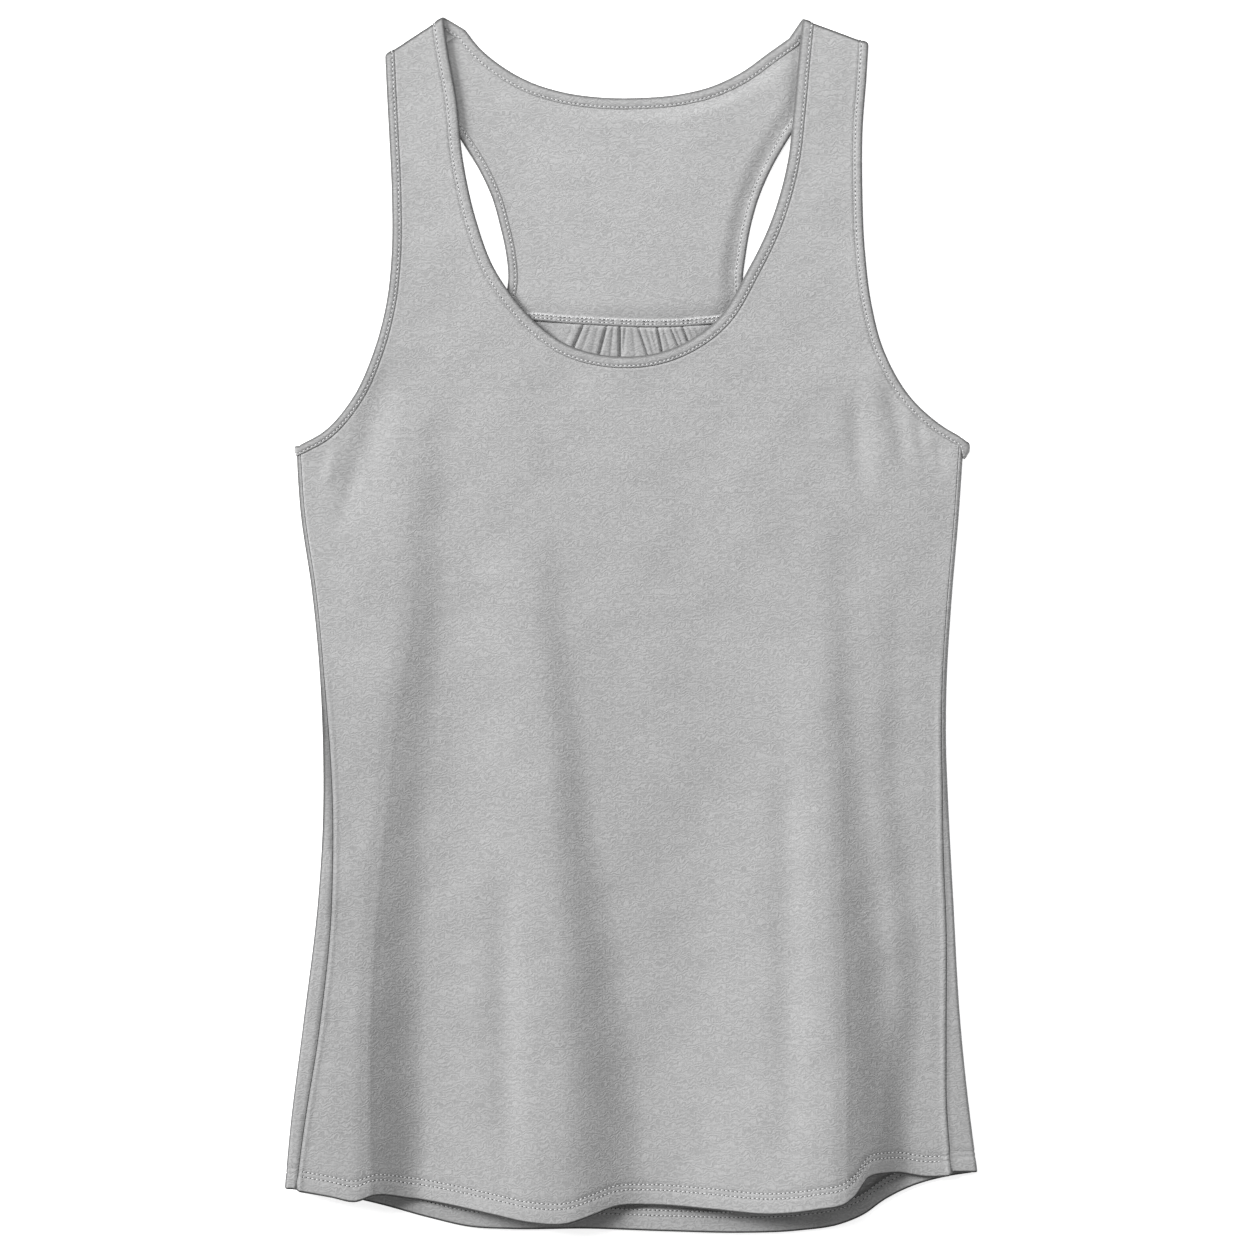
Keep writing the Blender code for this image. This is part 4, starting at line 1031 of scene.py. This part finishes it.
def lower_back_panel(material):
    """The lower back, gathered under the yoke seam, which goes round the side folds to the side seams."""
    edges = back_edges(STEP)
    place = lower_placer([edges["arm_left"].points, edges["arm_right"].points])
    sides, top_folds, hem_folds, arms, loose = {}, {}, {}, {}, []
    for side, name in ARMS.items():
        heights = side_heights(side, BACK_HEM, BACK_STEP)
        overlaps = seam_overlap(side, heights)
        reach = SPREAD + FOLD_ARC + overlaps - WALL - SEAM_GAP / 2
        sides[side] = np.column_stack([side * reach, heights])
        columns = [fold_columns(side, y, overlap) for y, overlap in zip(heights, overlaps)]
        top_folds[side], hem_folds[side] = columns[0], columns[-1]
        loose += columns[1:-1]
        line = moved_in(edges[name], TUCK)
        line = clip(line, lambda points: -over_line(points, YOKE_SEAM) - WALL - SEAM_GAP)
        arms[side] = line[np.abs(line[:, 0]) < side_axis(side, heights[0]) - FOLD_ROOM]
    ends = [side_axis(side, hem_folds[side][0][1]) - HEM_CORNER for side in ARMS]
    hem = straighten(hem_line(BACK_HEM, -ends[0], ends[1]))
    hem = np.vstack([hem_folds[-1][::-1], hem, hem_folds[1]]) + (0, HEM_ROUND)
    seam = curve(YOKE_SEAM, PLEAT_STEP) - (0, WALL + SEAM_GAP / 2)
    left, right = arms[-1][0][0] + CORNER_ROOM, arms[1][0][0] - CORNER_ROOM
    seam = seam[(seam[:, 0] > left) & (seam[:, 0] < right)]
    outline = np.vstack([
        sides[-1], hem, sides[1][::-1], top_folds[1][::-1], straighten(arms[1][::-1]),
        straighten(seam[::-1]), straighten(arms[-1]), top_folds[-1],
    ])
    fine = curve(BACK_HEM, HEM_STEP)
    plain = grid_points(*LOWER_GRID, BACK_STEP)
    plan = bent_back(plain)
    pleated = (np.abs(plan[:, 0]) < PLEATED.half) & (plan[:, 1] > PLEATED.bottom)
    plain = plain[(over_line(plan, fine) > HEM_DEPTH + HEM_ROOM) & ~pleated]
    layout = laid_out(outline, np.vstack([plain, *loose]), hem_rows(hem), LOWER_CLEAR)
    pleats = pleat_points()
    pleats = pleats[inside(pleats, outline) & (clearance(pleats, outline) > PLEAT_CLEAR)]
    layout = Layout(np.vstack([layout.points, pleats]), layout.lines, layout.rim)

    def top(flat):
        return WALL - needle_dip(over_line(bent_back(flat), fine))

    def bottom(flat):
        plan = bent_back(flat)
        distance = over_line(plan, fine)
        dip = INNER_DIP * needle_dip(distance) - hem_pucker(plan[:, 0], distance)
        return dip - WALL - HEM_LAYER * turned_under(distance, HEM_EDGE)

    # Painted shade along the side folds, darker on the left, and on the gathered cloth under the yoke
    # seam.
    def folded(flat):
        left, y = flat[:, 0] < 0, flat[:, 1]
        over = np.abs(flat[:, 0]) - SPREAD
        strength = np.where(left, SIDE_SHADE[-1], SIDE_SHADE[1]) * (over > 0)
        foot, added = LEFT_SHADE_WIDER
        wider = np.where(left, foot + added * ease((y - LEFT_SHADE_RISE.start) / LEFT_SHADE_RISE.width), 1.0)
        below = -over_line(bent_back(flat), YOKE_SEAM)
        beside = PLEATED.half + GATHER_SHADE_MARGIN - np.abs(flat[:, 0])
        # Painted shade on the gathered cloth below the yoke seam.
        gathers = GATHER_SHADE * ease(1.0 - below / GATHER_SHADE_REACH) * ease(beside / GATHER_SHADE_FADE)
        return np.maximum(strength * fold_shade_share(FOLD_ARC - over, wider), gathers)

    def rim(flat):
        return seam_rim_shade(bent_back(flat), fine)

    cloth = shell("back_lower_cloth", layout, place, top, bottom, material, "jersey_inner", folded, rim)
    return cloth, place


ALLOWANCE = 4.0  # height of the yoke seam's turned edges, on the inner side
ALLOWANCE_LAYER = 1.2
ALLOWANCE_NEEDLES = (1.4, 3.1)
ALLOWANCE_ROWS = (0.8, 1.4, 2.0, 2.6, 3.1, 3.7, 4.2, 4.8, 5.8)
ALLOWANCE_EDGE = ALLOWANCE + 0.25
ALLOWANCE_DIP = 0.7  # of a hem's, how far its stitches pull it in
ALLOWANCE_WAVE = 0.22
ALLOWANCE_LENGTHS = (0.8, 5.0, 1.9)  # of the fine wave, of its drift and of the long wave
ALLOWANCE_DRIFT = 1.5
ALLOWANCE_LONG = 0.6  # the long wave's height, as a share of the fine one's
ALLOWANCE_ENDS = 12.0  # what the waves take to grow, from either end of the pleated stretch


def allowance_pucker(x, height):
    """The gathered cloth that is caught in the seam makes its turned edges uneven."""
    gathers = ease((PLEATED.half - np.abs(x)) / ALLOWANCE_ENDS) * ease(height / GATHER_START)
    fine, drift, long = (np.asarray(x) / length for length in ALLOWANCE_LENGTHS)
    uneven = np.sin(fine + ALLOWANCE_DRIFT * np.sin(drift)) + ALLOWANCE_LONG * np.sin(long)
    return ALLOWANCE_WAVE * gathers * uneven


def yoke_panel(material):
    """The racerback yoke, with the turned edges of its lower seam on the side that shows."""
    edges = back_edges(STEP)
    lines = {}
    for name in WIDTHS:
        line = clip(moved_in(edges[name], TUCK), lambda points: over_line(points, YOKE_SEAM) - WALL)
        for side, sign in SIDES.items():
            line = clip(line, lambda points: np.where(
                points[:, 0] * sign > 0,
                -past_shoulder(side, points) - (SHOULDER_SEAM - FOLD_ARC) - WALL - SEAM_GAP, 1.0))
        lines[name] = line
    seam = curve(YOKE_SEAM, HEM_STEP) + (0, WALL + SEAM_GAP / 2)
    left, right = lines["arm_left"][-1][0] + CORNER_ROOM, lines["arm_right"][-1][0] - CORNER_ROOM
    seam = seam[(seam[:, 0] > left) & (seam[:, 0] < right)]
    outline = np.vstack([lines["arm_left"], seam, lines["arm_right"][::-1], lines["neck"][::-1]])
    place = yoke_placer([edge.points for edge in edges.values()])
    rows = [seam + (0, height - WALL) for height in ALLOWANCE_ROWS]
    layout = laid_out(outline, grid_points(*YOKE_GRID, BACK_STEP), rows, YOKE_CLEAR)

    def bottom(flat):
        height = over_line(flat, YOKE_SEAM)
        layer = ALLOWANCE_LAYER + allowance_pucker(flat[:, 0], height)
        dip = ALLOWANCE_DIP * needle_dip(height, ALLOWANCE_NEEDLES)
        return dip - WALL - layer * turned_under(height, ALLOWANCE_EDGE)

    def top(flat):
        return WALL

    # Painted shade all along the yoke's rim.
    def rim(flat):
        return SEAM_SHADE

    cloth = shell("back_yoke_cloth", layout, place, top, bottom, material, "jersey_inner", rim=rim)
    return cloth, place


# Bindings

STITCH_INSET = 1.05  # the stitch row's distance from a binding's inner edge
STITCH_LEVEL = 0.76
FOLD_TURNS = np.linspace(0, math.pi, 9)  # where the fold's points lie on its half circle
# How a strip's outer faces, which are all that is higher than this, swell between its stitches
FACE_LEVEL = 0.9
Swell = namedtuple("Swell", "height length start")
SWELLS = each(Swell, (0.045, 1.35, 0.0), (0.03, 4.1, 1.0))


def band_profile(width):
    """A folded strip's cross-section, as distances from its fold and heights, round it and its slot."""
    half = BAND / 2
    fold = [(half - half * math.sin(turn), half * math.cos(turn)) for turn in FOLD_TURNS]
    upper = [
        (width, 0.55), (width + 0.02, 0.74), (width - 0.3, 0.92), (width - 0.75, 0.88),
        (width - STITCH_INSET, STITCH_LEVEL), (width - 1.4, 0.93), (width - 1.8, 1.12),
        (width * 0.55, 1.26), (width * 0.3, 1.16),
    ]
    lower = [(across, -height) for across, height in upper[::-1]]
    slot = [(width, -0.5), (1.6, -0.5), (1.15, 0.0), (1.6, 0.5), (width, 0.5)]
    return upper + fold + lower + slot


def band_rings(edge, profile, place):
    """Cross-sections along an edge."""
    across, height = np.array(profile).T
    run = lengths(edge.points)[:, None]
    swell = 1 + sum(wave.height * np.sin(run / wave.length + wave.start) for wave in SWELLS)
    out = np.where(np.abs(height) > FACE_LEVEL, swell, 1.0) * height
    flat = edge.points[:, None] + edge.inward[:, None] * across[:, None]
    placed = place(flat.reshape(-1, 2), out.ravel(), low=BAND / 2)
    return list(placed.reshape(len(edge.points), len(profile), 3))


# How far a binding stands off the side fold that it goes round, and how much wider it gets there
Bulge = namedtuple("Bulge", "out wider drop")
UNDERARM_BULGE = {-1: Bulge(out=0.6, wider=0.1, drop=0.0), 1: Bulge(out=3.4, wider=0.9, drop=2.6)}
BULGE_SPREAD = 1.3  # above one, the bulge keeps its full size along the fold for longer
BULGE_CROWN = 0.35  # of the strip's width, where it stands off most
BULGE_FALL = 1.5


def underarm_rings(side, y, profile):
    """Cross-sections round a side fold, from the front to the back."""
    across, out = np.array(profile).T
    bulge = UNDERARM_BULGE[side]
    crowned = 1 - BULGE_FALL * (across / across.max() - BULGE_CROWN) ** 2
    rings = []
    for past in ROLL:
        share = ease(BULGE_SPREAD * math.sin(past / FOLD_RADIUS))
        down = across * (1 + bulge.wider * share) + bulge.drop * share
        ring = place_side(side, np.full(len(down), past), y - down, out, low=BAND / 2)
        ring[:, 0] += side * bulge.out * share * crowned
        rings.append(ring)
    return rings


def loop_rings(name, profile):
    """A binding's cross-sections all the way round."""
    front, back = front_edges(BAND_STEP)[name], back_edges(BAND_STEP)[name]
    back = Edge(back.points[1:-1], back.inward[1:-1])
    ahead, behind = band_rings(front, profile, place_front), band_rings(back, profile, place_back)
    if name == "neck":
        return ahead + behind
    side = -1 if name == "arm_left" else 1
    if side > 0:
        ahead = ahead[::-1]
    return ahead[:-1] + underarm_rings(side, UNDERARM[side], profile) + behind[::-1]


def binding(band, material):
    """A folded strip all the way round an edge."""
    profile = band_profile(band.width)
    rings = loop_rings(band.edge, profile)
    points = np.vstack(rings)
    numbers = np.arange(len(points)).reshape(len(rings), -1)
    mesh = closed_mesh(band.strip, points, quads([*numbers, numbers[0]]))
    item = add_object(band.strip, mesh, material, "binding")
    # Painted shade along the strip's fold and where it goes over the shoulders.
    folds = edge_shade_share(np.array([across for across, _ in profile]))
    ends = edge_shade_share((FOLD_RADIUS + BAND / 2 - past_shoulders(points[:, :2])) / SHOULDER_SHADE_WIDER)
    paint_edge_shade(item, np.maximum(BAND_SHADE * np.tile(folds, len(rings)), ends))
    return item


# Sewing. A path is a line of points on a surface, with the way out of it at each.

Path = namedtuple("Path", "points normals")
THREAD = 0.33  # radius
THREAD_SIDES = 4
STITCH = 2.55  # from one stitch to the next
STITCH_SHARE = 0.64  # of that length, the thread that shows
TUBE_SHAPE = ((0.0, 0.55, -0.9), (0.5, 1.0, 0.3), (1.0, 0.55, -0.9))  # place, radius, height in radii
HOLE = 0.36  # radius of the pit that a needle leaves
HOLE_SIDES = 6
HOLE_DEPTH = 0.25
HOLE_RIM = 0.07
TILT = 0.1  # keeps a turned vector off the line of the one that it was made from
# How far the threads' middles lie over the face that they are sewn on, or, where they sink in, under it
BAND_LIFT = 0.1
HEM_LIFT = 0.16
HEM_SINK = 0.05
ROW_SINK = 0.13
LOOP_SINK = 0.28
LOOP_PITCH = 1.1  # from one crossing of the loops to the next


def surface_path(flat, place, out, sign=1.0):
    """A path along a line of a layout, on the cloth's outer side or, with a sign of -1, its inner one."""
    points = place(flat, out)
    return Path(points, unit(place(flat, out + sign) - points))


def binding_path(band, height):
    """The line of the stitches on a binding, on its outer side or, with a height below zero, its inner."""
    above = height + math.copysign(1.0, height)
    across = band.width - STITCH_INSET
    rings = np.array(loop_rings(band.edge, ((across, height), (across, above))))
    rings = np.vstack([rings, rings[:1]])
    return Path(rings[:, 0], unit(rings[:, 1] - rings[:, 0]))


def read_path(path, at):
    """Places at distances along a path, and the way out of the surface there."""
    run = lengths(path.points)
    points = np.stack([np.interp(at, run, path.points[:, axis]) for axis in range(3)], axis=1)
    normals = np.stack([np.interp(at, run, path.normals[:, axis]) for axis in range(3)], axis=1)
    return points, unit(normals)


def stitch_starts(path):
    return np.arange(0.0, lengths(path.points)[-1] - STITCH, STITCH)


def circle(sides):
    return [2 * math.pi * i / sides for i in range(sides)]


def running(path):
    """Ends of straight stitches along a path."""
    starts = stitch_starts(path)
    head, up = read_path(path, starts)
    tail, _ = read_path(path, starts + STITCH * STITCH_SHARE)
    return head, tail, up


def crossing(path, other, pitch):
    """Ends of threads that cross to and fro between two paths."""
    share = np.arange(0.0, 1.0, pitch / lengths(path.points)[-1])
    a, up = read_path(path, share * lengths(path.points)[-1])
    b, _ = read_path(other, share * lengths(other.points)[-1])
    head = np.vstack([a[:-1:2], b[1::2][:len(a[2::2])]])
    tail = np.vstack([b[1::2][:len(a[:-1:2])], a[2::2]])
    return head, tail, np.vstack([up[:-1:2], up[2::2]])


def threads(head, tail, up):
    """Points of short threads between pairs of ends, and the faces of one."""
    aside = unit(np.cross(tail - head, up))
    points = []
    for share, girth, height in TUBE_SHAPE:
        middle = head + (tail - head) * share + up * THREAD * height
        for turn in circle(THREAD_SIDES):
            points.append(middle + THREAD * girth * (aside * math.cos(turn) + up * math.sin(turn)))
    rings = np.arange(len(points)).reshape(-1, THREAD_SIDES)
    faces = [rings[0].tolist()[::-1], rings[-1].tolist(), *quads(rings)]
    return np.stack(points, axis=1), faces


def needle_holes(path):
    """Points of the pits between a row's stitches, and the faces of one. They are coloured with painted
    shade.
    """
    middle, up = read_path(path, stitch_starts(path) - STITCH * (1 - STITCH_SHARE) / 2)
    ahead = unit(np.cross(up, np.roll(up, 1, axis=1) + TILT))
    aside = np.cross(up, ahead)
    points = [middle + up * HOLE_RIM, middle - up * HOLE_DEPTH]
    for turn in circle(HOLE_SIDES):
        points.append(middle + HOLE * (ahead * math.cos(turn) + aside * math.sin(turn)))
    faces = []
    for i in range(HOLE_SIDES):
        here, there = 2 + i, 2 + (i + 1) % HOLE_SIDES
        faces += [(0, here, there), (1, there, here)]
    return np.stack(points, axis=1), faces


def sewing(name, sets, holed, look, slot):
    """One mesh of a seam's threads and, along the holed paths, of the needle's pits, which are painted
    shade.
    """
    lots = [(*threads(*ends), 0) for ends in sets] + [(*needle_holes(path), 1) for path in holed]
    points, faces, kinds = [], [], []
    for lot, pattern, kind in lots:
        first = sum(len(block) for block in points)
        points.append(lot.reshape(-1, 3))
        for base in range(first, first + points[-1].shape[0], lot.shape[1]):
            faces += [tuple(corner + base for corner in face) for face in pattern]
            kinds += [kind] * len(pattern)
    item = add_object(name, closed_mesh(name, np.vstack(points), faces), look.thread, slot)
    item.data.materials.append(look.pit)
    item.data.polygons.foreach_set("material_index", kinds)
    return item


def binding_stitches(band, look):
    """The row of stitches along a binding, on both its sides."""
    paths = [binding_path(band, sign * (STITCH_LEVEL + BAND_LIFT)) for sign in (1, -1)]
    return sewing(band.stitches, [running(path) for path in paths], paths, look, "binding")


def hem_stitches(piece, hem, place, slot, look):
    """Two rows of stitches, on both sides of a hem."""
    lines = [hem + (0, row) for row in NEEDLE_ROWS]
    outside = [surface_path(line, place, WALL - NEEDLE_DIP + HEM_LIFT) for line in lines]
    within = [surface_path(line, place, HEM_SINK - WALL - HEM_LAYER, -1.0) for line in lines]
    paths = outside + within
    return sewing(piece, [running(path) for path in paths], paths, look, slot)


def allowance_stitches(place, look):
    """The rows on the yoke seam's turned edges, and the loops that bind those edges."""
    seam = curve(YOKE_SEAM, HEM_STEP)[2:-2]
    level = -WALL - ALLOWANCE_LAYER
    rows = [surface_path(seam + (0, row), place, level + ROW_SINK, -1.0) for row in ALLOWANCE_NEEDLES]
    edge = surface_path(seam + (0, ALLOWANCE), place, level + LOOP_SINK, -1.0)
    sets = [running(path) for path in rows] + [crossing(rows[1], edge, LOOP_PITCH)]
    return sewing("yoke_seam_stitches", sets, rows, look, "jersey_inner")


# Materials

# Noise in the heather: features for each millimetre across, down and through the cloth, detail, warp,
# and its shares in the tone and in the relief
Noise = namedtuple("Noise", "scale detail warp tone relief")
NOISES = (
    Noise((0.42, 1.1, 0.9), 2.0, 0.8, 0.27, 0.40),  # fibres
    Noise((1.1, 1.6, 1.5), 1.0, 0.0, 0.22, 0.20),  # specks
    Noise((0.03, 0.05, 0.05), 2.0, 0.0, 0.16, 0.0),  # clouds
)
STREAKS = {"Scale": 0.122, "Distortion": 13.0, "Detail": 1.5, "Detail Scale": 2.1, "Detail Roughness": 0.5}
STREAK_STRENGTH = Noise((0.09, 0.20, 0.2), 2.0, 0.0, 0.36, 1.0)
WALES = {"Scale": 0.21, "Distortion": 2.4, "Detail": 2.0, "Detail Scale": 1.4}
COURSES = {**WALES, "Scale": 0.24}  # what the inner side shows in their place
LOOPS_RELIEF = 0.06
EDGE_SHADE = 0.18  # what painted shade leaves of the colour at an edge's darkest
MATT = {"Roughness": 0.92, "Specular IOR Level": 0.18, "Sheen Weight": 0.05, "Sheen Roughness": 0.45}
Bump = namedtuple("Bump", "strength distance")
CLOTH_BUMP = Bump(0.31, 0.0006)
YARN_BUMP = Bump(0.4, 0.0001)


def node(tree, kind, inputs=(), **settings):
    made = tree.nodes.new(kind)
    for name, value in settings.items():
        setattr(made, name, value)
    for name, value in dict(inputs).items():
        if isinstance(value, bpy.types.NodeSocket):
            tree.links.new(value, made.inputs[name])
        else:
            made.inputs[name].default_value = value
    return made


def reckon(tree, operation, first, second):
    return node(tree, "ShaderNodeMath", {0: first, 1: second}, operation=operation).outputs[0]


def grain(tree, place, noise):
    """Noise from 0 to 1."""
    spread = node(tree, "ShaderNodeMapping", {"Vector": place, "Scale": noise.scale})
    inputs = {"Vector": spread.outputs[0], "Scale": 1.0, "Detail": noise.detail, "Roughness": 0.55}
    return node(tree, "ShaderNodeTexNoise", {**inputs, "Distortion": noise.warp}).outputs["Fac"]


def waves(tree, place, direction, shape):
    made = node(tree, "ShaderNodeTexWave", {"Vector": place, **shape}, bands_direction=direction)
    return made.outputs["Fac"]


def centred(tree, source):
    return reckon(tree, "SUBTRACT", source, 0.5)


def blended(tree, total, source, share):
    """A total with its share of another value."""
    return reckon(tree, "ADD", total, reckon(tree, "MULTIPLY", source, share))


def edge_shade(tree):
    """Painted shade along the cloth's edges and folds, and where it is gathered: a factor for the colour.
    One elsewhere.
    """
    edge = node(tree, "ShaderNodeAttribute", attribute_name="edge").outputs["Fac"]
    shade = node(tree, "ShaderNodeMapRange", {"Value": edge, "To Min": 1.0, "To Max": EDGE_SHADE})
    return shade.outputs[0]


def principled(name, inputs):
    """A new material, with its nodes and its shader."""
    material = bpy.data.materials.new(name)
    material.use_nodes = True
    tree = material.node_tree
    shader = tree.nodes["Principled BSDF"]
    for socket, value in inputs.items():
        shader.inputs[socket].default_value = value
    return material, tree, shader


def textile(name, base, bump, inputs, texture):
    """A material whose texture function gives its tone and relief at each place in millimetres."""
    material, tree, shader = principled(name, inputs)
    where = node(tree, "ShaderNodeTexCoord").outputs["Object"]
    place = node(tree, "ShaderNodeMapping", {"Vector": where, "Scale": [1 / MM] * 3}).outputs[0]
    tone, relief = texture(tree, place)
    colour = node(tree, "ShaderNodeVectorMath", {0: base, "Scale": tone}, operation="SCALE")
    raised = node(
        tree, "ShaderNodeBump", {"Height": relief, "Strength": bump.strength, "Distance": bump.distance})
    tree.links.new(colour.outputs[0], shader.inputs["Base Color"])
    tree.links.new(raised.outputs[0], shader.inputs["Normal"])
    return material


def heather(name, base, turned=False):
    """Matt heather jersey: short winding streaks of lighter and darker fibre over fine loops, with painted
    shade along its edges.
    """
    def texture(tree, place):
        winding = centred(tree, waves(tree, place, "Y", STREAKS))
        streaks = reckon(tree, "MULTIPLY", winding, grain(tree, place, STREAK_STRENGTH))
        loops = waves(tree, place, "Y", COURSES) if turned else waves(tree, place, "X", WALES)
        tone = reckon(tree, "MULTIPLY_ADD", streaks, STREAK_STRENGTH.tone)
        tone.node.inputs[2].default_value = 1.0
        relief = blended(tree, streaks, loops, LOOPS_RELIEF)
        for noise in NOISES:
            source = grain(tree, place, noise)
            tone = blended(tree, tone, centred(tree, source), noise.tone)
            if noise.relief:
                relief = blended(tree, relief, source, noise.relief)
        # The tone, darkened by the painted shade.
        return reckon(tree, "MULTIPLY", tone, edge_shade(tree)), relief

    return textile(name, base, CLOTH_BUMP, MATT, texture)


def yarn(name, base, scale, spread, rough):
    """Twisted yarn, or the painted shade in a needle's pit: fine mottling in colour and height."""
    def texture(tree, place):
        twist = grain(tree, place, Noise((scale, scale, scale), 2.0, 0.0, spread, 1.0))
        tone = reckon(tree, "MULTIPLY_ADD", twist, spread)
        tone.node.inputs[2].default_value = 1.0 - spread / 2
        return tone, twist

    return textile(name, base, YARN_BUMP, {"Roughness": rough, "Specular IOR Level": 0.2}, texture)


# The garment

JERSEY = (0.411, 0.411, 0.412)
# The inner side, darker than the outer one: painted shade where the back's inner side shows under the
# front.
INNER_SHADED = (0.358, 0.358, 0.359)
EDGING = (0.338, 0.338, 0.339)
THREAD_GREY = (0.66, 0.66, 0.665)
# Near black: painted shade in the needles' pits.
PIT_SHADE_GREY = (0.07, 0.07, 0.072)
Look = namedtuple("Look", "thread pit")
# Each binding's edge, its two pieces, its width, and its length round the edge in metres
Band = namedtuple("Band", "edge strip stitches width length")
BANDS = each(
    Band, ("neck", "neck_binding_strip", "neck_stitches", NECK_BAND, 0.741),
    ("arm_left", "armhole_left_strip", "armhole_left_stitches", ARM_BAND, 0.578),
    ("arm_right", "armhole_right_strip", "armhole_right_stitches", ARM_BAND, 0.586),
)
FRONT_SEWN = (-190.0, 183.0)  # where the hems' stitches start and end, across the garment
BACK_SEWN = (-196.0, 196.0)


def dress():
    """Makes every piece, and hides the solids that the pieces stand in for."""
    jersey = heather("heather_jersey", JERSEY)
    inner = heather("heather_inner_shaded", INNER_SHADED, turned=True)
    edging = heather("heather_edging", EDGING)
    look = Look(
        yarn("grey_thread", THREAD_GREY, scale=2.2, spread=0.3, rough=0.6),
        yarn("needle_pit_shade", PIT_SHADE_GREY, scale=3.5, spread=0.5, rough=0.95))

    front = front_panel(jersey)
    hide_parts("front")
    lower, place_lower = lower_back_panel(inner)
    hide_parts("back_lower")
    yoke, place_yoke = yoke_panel(inner)
    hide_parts("back_yoke")

    neck, left, right = [binding(band, edging) for band in BANDS]
    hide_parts("neck_binding")
    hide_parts("armhole_binding_left")
    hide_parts("armhole_binding_right")

    sewn = [binding_stitches(band, look) for band in BANDS]
    front_hem = hem_line(FRONT_HEM, *FRONT_SEWN)
    front_thread = hem_stitches("front_hem_stitches", front_hem, place_front, "jersey", look)
    back_hem = straighten(hem_line(BACK_HEM, *BACK_SEWN))
    back_thread = hem_stitches("back_hem_stitches", back_hem, place_lower, "jersey_inner", look)
    yoke_thread = allowance_stitches(place_yoke, look)


# The stage

FRAME_WIDTH = 0.7273  # what the picture takes in across, on the surface
LENS = 100.0
SENSOR = 36.0
AIM = (-0.0026, -0.0009)
SURFACE_SIZE = 6.0
SURFACE_LEVEL = -0.0004
WHITE = (1.0, 1.0, 1.0, 1.0)
PAPER = {
    "Base Color": (0.93, 0.93, 0.93, 1.0), "Roughness": 0.95, "Specular IOR Level": 0.1,
    "Emission Color": WHITE, "Emission Strength": 0.66,  # the photograph's ground is pure white
}
SKY = 0.20
Lamp = namedtuple("Lamp", "name place size power")
LAMPS = each(
    Lamp, ("key", (-6.4, 3.4, 3.8), 3.0, 1080.0), ("top", (-0.15, 0.65, 0.75), 0.5, 3.0),
    ("fill", (0.95, 0.75, 0.5), 0.35, 4.0), ("low", (0.3, -1.1, 0.6), 0.5, 1.5),
)


def studio():
    """The white surface, the camera straight above it, and the light."""
    bpy.ops.mesh.primitive_plane_add(size=SURFACE_SIZE, location=(0.0, 0.0, SURFACE_LEVEL))
    surface = bpy.context.object
    surface.name = "surface"
    surface.data.materials.append(principled("white_paper", PAPER)[0])

    camera = bpy.data.objects.new("camera", bpy.data.cameras.new("camera"))
    bpy.context.collection.objects.link(camera)
    camera.data.lens = LENS
    camera.data.sensor_width = SENSOR
    camera.location = (*AIM, FRAME_WIDTH * LENS / SENSOR)
    bpy.context.scene.camera = camera

    for lamp in LAMPS:
        light = bpy.data.lights.new(lamp.name, "AREA")
        light.size = lamp.size
        light.energy = lamp.power
        item = bpy.data.objects.new(lamp.name, light)
        bpy.context.collection.objects.link(item)
        item.location = lamp.place
        item.rotation_euler = (-Vector(lamp.place)).to_track_quat("-Z", "Y").to_euler()

    world = bpy.data.worlds.new("studio")
    bpy.context.scene.world = world
    world.use_nodes = True
    sky = world.node_tree.nodes["Background"]
    sky.inputs["Color"].default_value = WHITE
    sky.inputs["Strength"].default_value = SKY
    bpy.context.scene.view_settings.view_transform = "Standard"


studio()
dress()
